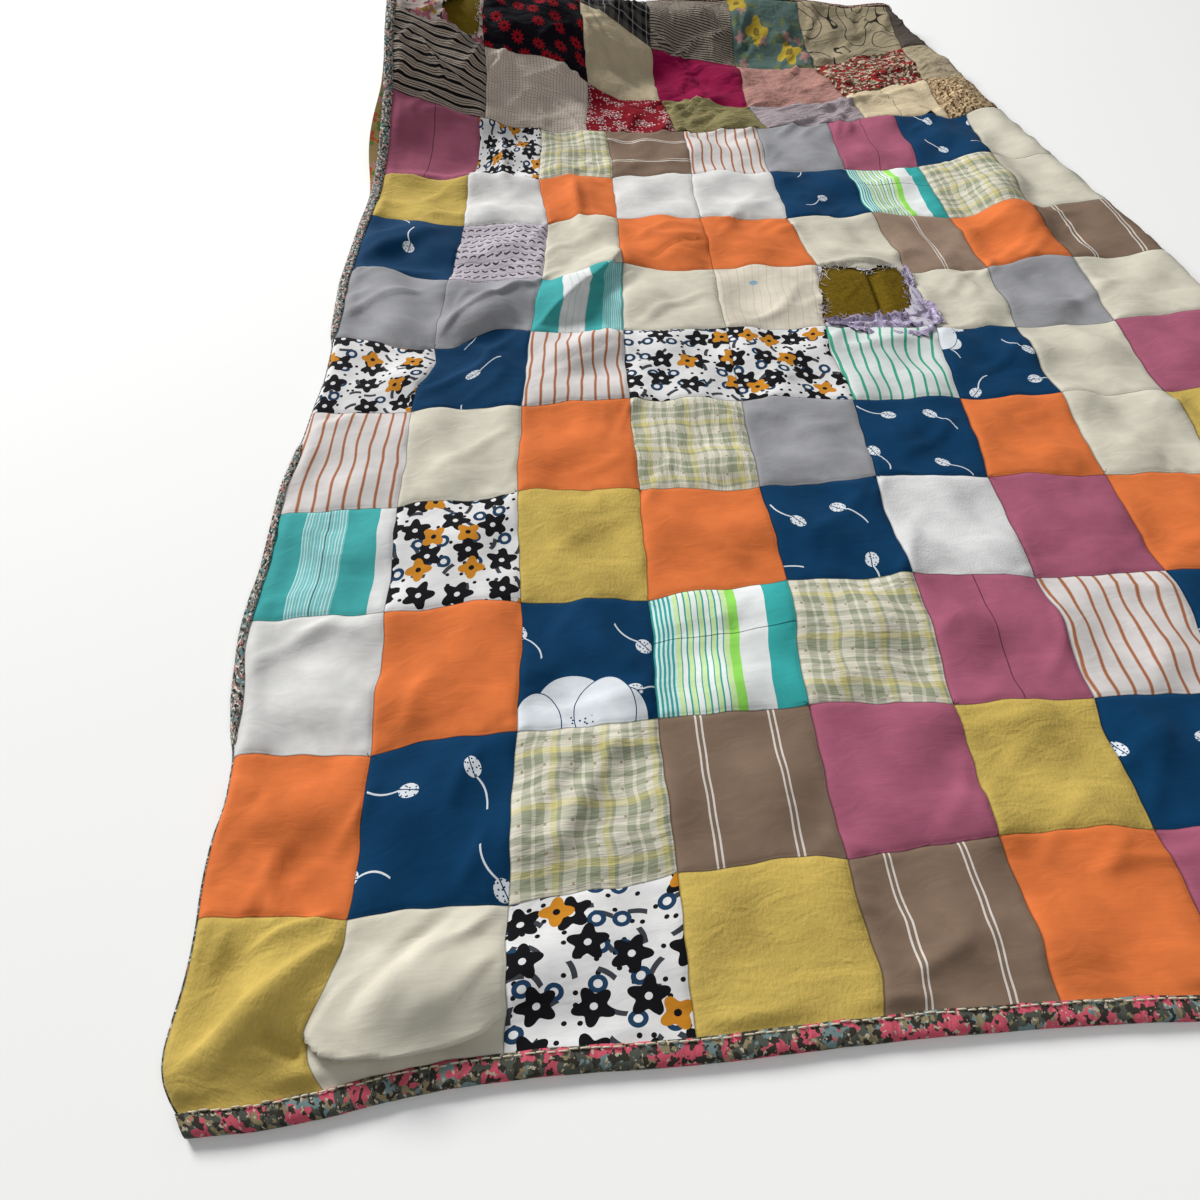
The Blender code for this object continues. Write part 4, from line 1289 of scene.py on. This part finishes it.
def make_binding(side, edge, length, print_cloth, flip, chance, shown=None):
    """A strip whose section is folded round the edge, carried along it, with small puckers from sewing.

    Where shown is under 1 the top side is narrower, and where it is 0 the strip lies under the edge.
    """
    count = int(length / BINDING_STEP)
    place = np.linspace(0.0, length, count)
    outer = lie(*along_edge(edge, place))
    inward = lie(*along_edge(edge, place, 0.01)) - outer
    inward /= np.linalg.norm(inward, axis=-1, keepdims=True)
    up = square_to(*along_edge(edge, place))
    third = np.arange(0, count, 3)
    waves = np.interp(np.arange(count), third, chance.normal(0.0, 1.0, len(third)))
    share = read_table(shown, 1, place, LEFT_ROUNDING) if shown else np.ones(count)
    tucked = 1.0 - ease(share / 0.4)
    rings = []
    for reach, height in BINDING_SECTION:
        top_side = height > 0
        pucker = waves * (0.35 if top_side else 0.1)
        sway = waves * (0.35 if reach > DEEP_ON_TOP and top_side else 0.15)
        reach = (reach * share if top_side else reach) + tucked * (5.0 if top_side else 2.0)
        height = np.where(tucked > 0.0, height * (1.0 - tucked) + min(height, -2.6) * tucked, height)
        across, above = (reach + sway) / 1000.0, (height + pucker) / 1000.0
        rings.append(outer + inward * across[:, None] + up * above[:, None])
    points = np.stack(rings, axis=1)
    points[..., 2] = np.maximum(points[..., 2], LEAST_UP)
    squares = sheet_faces(count, len(BINDING_SECTION))
    if flip:
        squares = squares[:, ::-1]
    run = np.append(0.0, np.cumsum(np.hypot(*np.diff(np.array(BINDING_SECTION), axis=0).T)))
    strip_map = corner_map(squares, run, place[:, None] * 1000.0)
    maps = {"cloth_mm": strip_map, "OFBake": strip_map / (run[-1], length * 1000.0)}
    piece = make_piece(f"{side}_binding_strip", points - CORNER_TO_MIDDLE, squares, print_cloth, maps)
    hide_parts(f"binding_{side}")
    return piece


bindings = [
    make_binding("near", NEAR_SIDE, QUILT_WIDTH, near_print, True, chance),
    make_binding("far", FAR_SIDE, QUILT_WIDTH, far_print, False, chance),
    make_binding("left", LEFT_SIDE, QUILT_LENGTH, left_print, False, chance, LEFT_SHOWN),
    make_binding("right", RIGHT_SIDE, QUILT_LENGTH, left_print, True, chance),
]


# ---------------------------------------------------------------------------------------------
# The olive blanket. An old plush blanket is the filling, and it shows where two patches have torn
# away. It lies loose between the top and the backing, with a crease pressed into it.
PLUSH_MARGIN = 0.012  # hidden under the patches all round
PLUSH_GRAIN = 0.00016
PLUSH_LOWEST = -0.0018
PLUSH_DENTS = (
    # as the rows of FOLDS
    (-7.0, 20, 8, 0, ((862, 1172), (861, 1140), (860, 1085), (858, 1012))),
    (1.6, 14, 10, 0, ((800, 1060), (826, 1090), (846, 1120))),
)


def plush(name, code, pile_mm):
    """Worn wool plush: painted light on its lumps of pile, and painted shade down between them."""
    material, tree = new_cloth(name)
    pile = {"Vector": patch_map(tree), "Scale": 1.0 / pile_mm, "Detail": 4.0, "Roughness": 0.65}
    # Painted light and shade on the pile: noise makes the colour lighter on lumps and darker between them.
    deep = add(tree, RANGE, {"Value": add(tree, NOISE, pile, **FLAT), **between(0.3, 0.66, 0.76, 1.12)})
    colour = add(tree, VECTORS, {0: ground_of(tree, code), "Scale": deep}, operation="SCALE")
    finish_cloth(tree, colour.outputs[0], "crepe", rough=0.97, sheen=0.0)
    return material


def blanket_part(name, node, outline, cloth, puff, dents, chance):
    """The part of the blanket under one torn place: a low dome, its lumps of pile, and its creases."""
    ring = np.array(outline) / 1000.0
    low, high = ring.min(axis=0) - PLUSH_MARGIN, ring.max(axis=0) + PLUSH_MARGIN
    share_s, share_t = np.meshgrid(np.linspace(0.0, 1.0, 64), np.linspace(0.0, 1.0, 60))
    s, t = low[0] + share_s * (high[0] - low[0]), low[1] + share_t * (high[1] - low[1])
    sides = (share_s, 1.0 - share_s, share_t, 1.0 - share_t)
    dome = math.prod(ease(side / 0.3) for side in sides)
    place = lie(s, t)
    lumps = chance.normal(0.0, PLUSH_GRAIN, s.shape)
    height = -0.0002 + puff * dome + fold_shape(place[..., 0], place[..., 1], dents)[0] + lumps * dome
    squares = sheet_faces(*s.shape)
    maps = {"cloth_mm": corner_map(squares, s, t) * 1000.0, "OFBake": corner_map(squares, share_s, share_t)}
    piece = make_piece(name, on_cloth(s, t, np.maximum(height, PLUSH_LOWEST)), squares, cloth, maps)
    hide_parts(node)


blanket_chance = np.random.default_rng(23)
plush_near, plush_far = plush("olive_plush", "#66520C", 7.0), plush("olive_plush_worn", "#67540E", 4.0)
blanket_part("blanket_middle", "filling_middle", MIDDLE_HOLE, plush_near, 0.0055, PLUSH_DENTS, blanket_chance)
blanket_part("blanket_far", "filling_far", FAR_HOLE, plush_far, 0.0012, (), blanket_chance)


# ---------------------------------------------------------------------------------------------
# The torn remnant. All that is left of the lilac patch is a curled strip of its thin knit along
# the near side and the right side of the tear, pulled into holes.
REMNANT_LINE = (
    # s     t     half width mm
    (766, 1004, 5),
    (796, 1002, 11),
    (817, 996, 19),
    (838, 989, 28),
    (860, 986, 32),
    (883, 989, 31),
    (906, 995, 26),
    (926, 1010, 19),
    (933, 1030, 11),
    (924, 1054, 5),
    (917, 1080, 3),
    (920, 1108, 4),
    (923, 1132, 4),
    (920, 1152, 3),
)
PULLED_HOLES = (
    # middle along and across the strip, half sizes along and across, as shares of it
    (0.27, -0.30, 0.024, 0.24),
    (0.40, -0.28, 0.026, 0.26),
    (0.19, 0.25, 0.012, 0.16),
    (0.50, 0.30, 0.010, 0.14),
)
REMNANT_GRID = (190, 34)
REMNANT_UP = 6.6  # mm over the middle of the cloth: on the patches, whose folds it clears


def lilac_knit():
    """Thin lilac knit that has curled: its dark print shows as dashes, and its pulled edge is pale."""
    material, tree = new_cloth("lilac_curled_knit")
    colour = ground_of(tree, "#A79BB5")
    for code, size, share, shift in (("#4F4468", 2.3, 0.45, 3.0), ("#DAD6E0", 2.2, 0.6, 9.0)):
        local, chances = scatter(tree, 9.0, 0.9, (shift, shift, 0.0))
        colour = dyed(tree, colour, some(tree, petals_of(tree, local, size, 2, 0.4), chances, share), code)
    finish_cloth(tree, colour, "crinkle")
    return material


line = np.array(REMNANT_LINE, float)
runs = np.append(0.0, np.cumsum(np.hypot(*np.diff(line[:, :2], axis=0).T)))
along = np.linspace(0.0, 1.0, REMNANT_GRID[0])[:, None]
across = np.linspace(-1.0, 1.0, REMNANT_GRID[1])[None, :]
middle_s, middle_t, half = (np.interp(along * runs[-1], runs, row) / 1000.0 for row in line.T)
# The way of the strip, averaged over nine steps so that its bends stay soft.
steady = np.ones(9) / 9.0
ways = (np.pad(np.gradient(middle[:, 0]), 4, "edge") for middle in (middle_s, middle_t))
way_s, way_t = (np.convolve(way, steady, "valid")[:, None] for way in ways)
size = np.hypot(way_s, way_t)
edge_shake = 1.0 + 0.16 * np.sin(along * 61.0) + 0.10 * np.sin(along * 173.0 + 2.0)
remnant_s = middle_s - way_t / size * across * half * edge_shake
remnant_t = middle_t + way_s / size * across * half * edge_shake
# The strip stands on the patches: it waves along its run, and both long edges curl up and over.
ruffle = 2.0 * np.sin(across * 8.0 + 1.5 * np.sin(along * 17.0))
ruffle = ruffle + 1.2 * np.sin(along * 49.0 + 2.0 * across) + 0.7 * np.sin(along * 97.0 - 3.0 * across)
curl = 3.0 * np.abs(across) ** 3 * (1.0 + 0.5 * np.sin(along * 52.0))
remnant_height = (REMNANT_UP + ruffle * np.minimum(half / 0.02, 1.0) + curl) / 1000.0
squares = sheet_faces(*REMNANT_GRID)[:, ::-1]
shares = corner_map(squares, along, across).reshape(-1, 4, 2).mean(axis=1)
kept = np.ones(len(squares), bool)
for *middle, long_half, wide_half in PULLED_HOLES:
    kept &= np.hypot(*((shares - middle) / (long_half, wide_half)).T) > 1.0
squares = squares[kept]
lilac_remnant = make_piece(
    "lilac_remnant_strip",
    on_cloth(remnant_s, remnant_t, remnant_height),
    squares,
    lilac_knit(),
    {
        "cloth_mm": corner_map(squares, along * runs[-1], across * half * 1000.0),
        "OFBake": corner_map(squares, along, 0.5 + 0.5 * across),
    },
)
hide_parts("torn_remnant")


# ---------------------------------------------------------------------------------------------
# Loose threads. The torn edges fray into fine threads, and here and there the ends of the black
# sewing thread stick out of a seam.
THREAD_SIDES = 4
ASKEW = (0.31, 0.17, 0.93)  # a way that no thread runs along
FRAY_RADIUS = 0.00032
TUFT_STEP = 0.0012
LEAST_RISE = 3.0
NO_END = 9.0  # past the quilt's own size


def thread_piece(name, paths, radius, code):
    """Many fine threads as one piece: a small square ring square to each path, carried along it."""
    way = np.gradient(paths, axis=1)
    way /= np.linalg.norm(way, axis=-1, keepdims=True) + 1e-12
    side = np.cross(way, ASKEW)
    side /= np.linalg.norm(side, axis=-1, keepdims=True)
    other = np.cross(way, side)
    turn = 2.0 * math.pi * np.arange(THREAD_SIDES) / THREAD_SIDES
    ring = side[:, :, None] * np.cos(turn)[:, None] + other[:, :, None] * np.sin(turn)[:, None]
    points = paths[:, :, None] + radius * ring
    points[..., 2] = np.maximum(points[..., 2], LEAST_UP)
    count, rings = paths.shape[:2]
    index = np.arange(count * rings * THREAD_SIDES).reshape(count, rings, THREAD_SIDES)
    ahead = np.roll(index, -1, axis=2)
    tube = np.stack((index[:, :-1], ahead[:, :-1], ahead[:, 1:], index[:, 1:]), axis=-1).reshape(-1, 4)
    ends = np.concatenate((index[:, 0, ::-1], index[:, -1]))
    # Spun cotton: matt, and lighter and darker along its run.
    material, tree = new_cloth(name)
    place = add(tree, "ShaderNodeTexCoord").outputs["Object"]
    uneven = add(tree, NOISE, {"Vector": place, "Scale": 90.0})
    shade = add(tree, RANGE, {"Value": uneven, **between(0.3, 0.7, 0.8, 1.1)})
    tinted = add(tree, VECTORS, {0: ground_of(tree, code), "Scale": shade}, operation="SCALE")
    shader = tree.nodes["Principled BSDF"]
    tree.links.new(tinted.outputs[0], shader.inputs["Base Color"])
    shader.inputs["Roughness"].default_value = 0.8
    piece = make_piece(name, points.reshape(-1, 3), np.concatenate((tube, ends)), material)


def wandering(chance, count, steps, turn):
    """Headings that start anywhere and then turn a little by chance at each step."""
    start = chance.uniform(0.0, 2.0 * math.pi, (count, 1))
    return start + np.cumsum(chance.normal(0.0, turn, (count, steps)), axis=1)


def frayed(edge, span, count, lengths, lean, chance):
    """Threads that leave an edge: each starts on it, leans to one side and curls by a random walk."""
    start = edge[chance.integers(0, len(edge), count * 4)]
    least_s, most_s, least_t, most_t = span
    within = (start >= (least_s, least_t)) & (start <= (most_s, most_t))
    start = start[within.all(axis=1)][:count]
    count, rings = len(start), 7
    heading = wandering(chance, count, rings, 0.5)
    step = chance.uniform(*lengths, (count, 1)) / 1000.0 / (rings - 1)
    s = start[:, :1] + np.cumsum(step * (np.cos(heading) + lean[0]), axis=1)
    t = start[:, 1:] + np.cumsum(step * (np.sin(heading) + lean[1]), axis=1)
    rise = chance.uniform(3.2, 6.5, (count, 1)) + np.cumsum(chance.normal(0.0, 0.5, (count, rings)), axis=1)
    return on_cloth(s, t, np.maximum(rise, LEAST_RISE) / 1000.0)


thread_chance = np.random.default_rng(31)
# The torn edge, the least and most s and t that fray, how many, mm long, and the way they lean.
pale = np.concatenate((
    frayed(MIDDLE_TEAR, (0.0, NO_END, 1.136, NO_END), 70, (6, 16), (0.0, -0.2), thread_chance),
    frayed(MIDDLE_TEAR, (0.0, 0.80, 1.03, NO_END), 34, (8, 24), (0.5, 0.0), thread_chance),
    frayed(FAR_TEAR, (0.18, NO_END, 0.0, NO_END), 50, (4, 10), (0.0, 0.0), thread_chance),
))
lilac = np.concatenate((
    frayed(MIDDLE_TEAR, (0.89, NO_END, 0.0, NO_END), 60, (6, 16), (0.2, 0.0), thread_chance),
    frayed(MIDDLE_TEAR, (0.0, NO_END, 0.0, 1.045), 60, (6, 14), (0.1, 0.1), thread_chance),
))
thread_piece("frayed_pale_threads", pale, FRAY_RADIUS, "#CFC9C4")
thread_piece("frayed_lilac_threads", lilac, FRAY_RADIUS, "#A99FC0")

near_corners = np.stack((NEAR_ACROSS, NEAR_ALONG), axis=-1)[1:, 1:9].reshape(-1, 2) / 1000.0
tufts = np.repeat(near_corners[thread_chance.permutation(len(near_corners))[:46]], 2, axis=0)
heading = wandering(thread_chance, len(tufts), 5, 0.6)
tuft_s = tufts[:, :1] + TUFT_STEP * np.cumsum(np.cos(heading), axis=1)
tuft_t = tufts[:, 1:] + TUFT_STEP * np.cumsum(np.sin(heading), axis=1)
tuft_up = HALF + 0.0015 + 0.0006 * np.arange(5)[None, :]
thread_piece("sewing_thread_ends", on_cloth(tuft_s, tuft_t, tuft_up), 0.00035, "#1C1B1E")


# ---------------------------------------------------------------------------------------------
# The binding stitches. One line of running stitches in cream thread holds the near binding and the
# far one down, close to their inner edges.
STITCH_PITCH = 9.0  # mm, as are the way inwards and the height
STITCH_INWARDS = 15.0
STITCH_UP = 5.2
STITCH_POINTS = 6


def stitches(edge, length, chance):
    """Running stitches along an edge: each is a short bowed thread, sunk at both ends."""
    starts = np.arange(0.012, length - 0.014, STITCH_PITCH / 1000.0)
    long = STITCH_PITCH / 1000.0 * chance.uniform(0.70, 0.95, len(starts))
    way = np.linspace(0.0, 1.0, STITCH_POINTS)
    place = (starts[:, None] + long[:, None] * way[None, :]).ravel()
    inwards = np.repeat(chance.normal(0.0, 0.5, len(starts)), STITCH_POINTS) + STITCH_INWARDS
    s, t = along_edge(edge, place, inwards / 1000.0)
    height = STITCH_UP + 0.9 * np.sin(math.pi * np.tile(way, len(starts))) - 0.5
    return on_cloth(s, t, height / 1000.0).reshape(len(starts), STITCH_POINTS, 3)


seam_lines = [stitches(edge, QUILT_WIDTH, thread_chance) for edge in (NEAR_SIDE, FAR_SIDE)]
thread_piece("binding_stitches", np.concatenate(seam_lines), 0.00075, "#CBC1AA")


# ---------------------------------------------------------------------------------------------
# The loose backing. Along a short way the printed backing has slipped out past the left binding,
# as a narrow leaf of the same cotton.
LEAF_FROM, LEAF_TO = 1.40, 1.72
LEAF_LONG = LEAF_TO - LEAF_FROM
LEAF_UNDER = 0.006  # how far it still lies under the binding
LEAF_LEAST, LEAF_SWELL, LEAF_WIDEST = 0.009, 0.017, 0.026  # its widths: at the ends, more, in the middle
LEAF_DOWN = 0.0045
leaf_grid = np.meshgrid(np.linspace(LEAF_FROM, LEAF_TO, 60), np.linspace(0.0, 1.0, 8), indexing="ij")
leaf_t, leaf_share = leaf_grid
leaf_s = 0.0 * leaf_t
swell = bump(2.0 * (leaf_t - 0.5 * (LEAF_FROM + LEAF_TO)) / LEAF_LONG)
leaf_edge = lie(leaf_s, leaf_t)
leaf_in = (lie(leaf_s + BINDING_LINE, leaf_t) - leaf_edge) / BINDING_LINE
leaf_out = LEAF_UNDER - leaf_share * (LEAF_LEAST + LEAF_SWELL * swell)
leaf_points = leaf_edge + leaf_in * leaf_out[..., None] - square_to(leaf_s, leaf_t) * LEAF_DOWN
leaf_points[..., 2] = np.maximum(leaf_points[..., 2], FLOOR_GAP)
leaf_squares = sheet_faces(*leaf_t.shape)
backing_leaf = make_piece(
    "backing_leaf",
    leaf_points - CORNER_TO_MIDDLE,
    leaf_squares,
    backing_print,
    {
        "cloth_mm": corner_map(leaf_squares, leaf_out, leaf_t) * 1000.0,
        "OFBake": corner_map(leaf_squares, leaf_share, (leaf_t - LEAF_FROM) / LEAF_LONG),
    },
)
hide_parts("backing_edge")


# ---------------------------------------------------------------------------------------------
# The floor, soft daylight from the far side, and the camera.
FLOOR_REACH = 9
floor_corners = [(x * FLOOR_REACH, y * FLOOR_REACH, 0) for x, y in ((-1, -1), (1, -1), (1, 1), (-1, 1))]
floor_mesh = bpy.data.meshes.new("floor")
floor_mesh.from_pydata(floor_corners, [], [(0, 1, 2, 3)])
floor = bpy.data.objects.new("floor", floor_mesh)
bpy.context.scene.collection.objects.link(floor)
# Matt paint: it takes a soft shadow and mirrors nothing.
floor_paint, floor_tree = new_cloth("pale_floor")
floor_shader = floor_tree.nodes["Principled BSDF"]
floor_shader.inputs["Base Color"].default_value = linear("#EEEEEC")
floor_shader.inputs["Roughness"].default_value = 0.9
floor_mesh.materials.append(floor_paint)

world = bpy.context.scene.world or bpy.data.worlds.new("room")
bpy.context.scene.world = world
world.use_nodes = True
sky = world.node_tree.nodes["Background"]
sky.inputs["Color"].default_value = linear("#F2F4F8")
sky.inputs["Strength"].default_value = 0.24
for name, place, aim, size, power in (
    ("window_light", (-6.3, 6.6, 4.8), (0.0, 0.0, 0.0), 3.4, 1640.0),
    ("room_light", (1.1, -1.9, 2.6), (0.2, -0.6, 0.0), 2.0, 24.0),
):
    lamp = bpy.data.lights.new(name, "AREA")
    lamp.size = size
    lamp.energy = power
    holder = bpy.data.objects.new(name, lamp)
    holder.location = place
    away = Vector(place) - Vector(aim)
    holder.rotation_euler = away.to_track_quat("Z", "Y").to_euler()
    bpy.context.scene.collection.objects.link(holder)

camera_data = bpy.data.cameras.new("camera")
camera_data.lens = 26.0
camera_data.sensor_width = 36.0
camera = bpy.data.objects.new("camera", camera_data)
CAMERA_DOWN, CAMERA_RIGHT = 51.92, 2.25  # degrees
camera.location = (-0.3497, -1.2218, 0.790)
camera.rotation_euler = (math.radians(90.0 - CAMERA_DOWN), 0.0, math.radians(-CAMERA_RIGHT))
bpy.context.scene.collection.objects.link(camera)
bpy.context.scene.camera = camera
bpy.context.scene.view_settings.view_transform = "Standard"
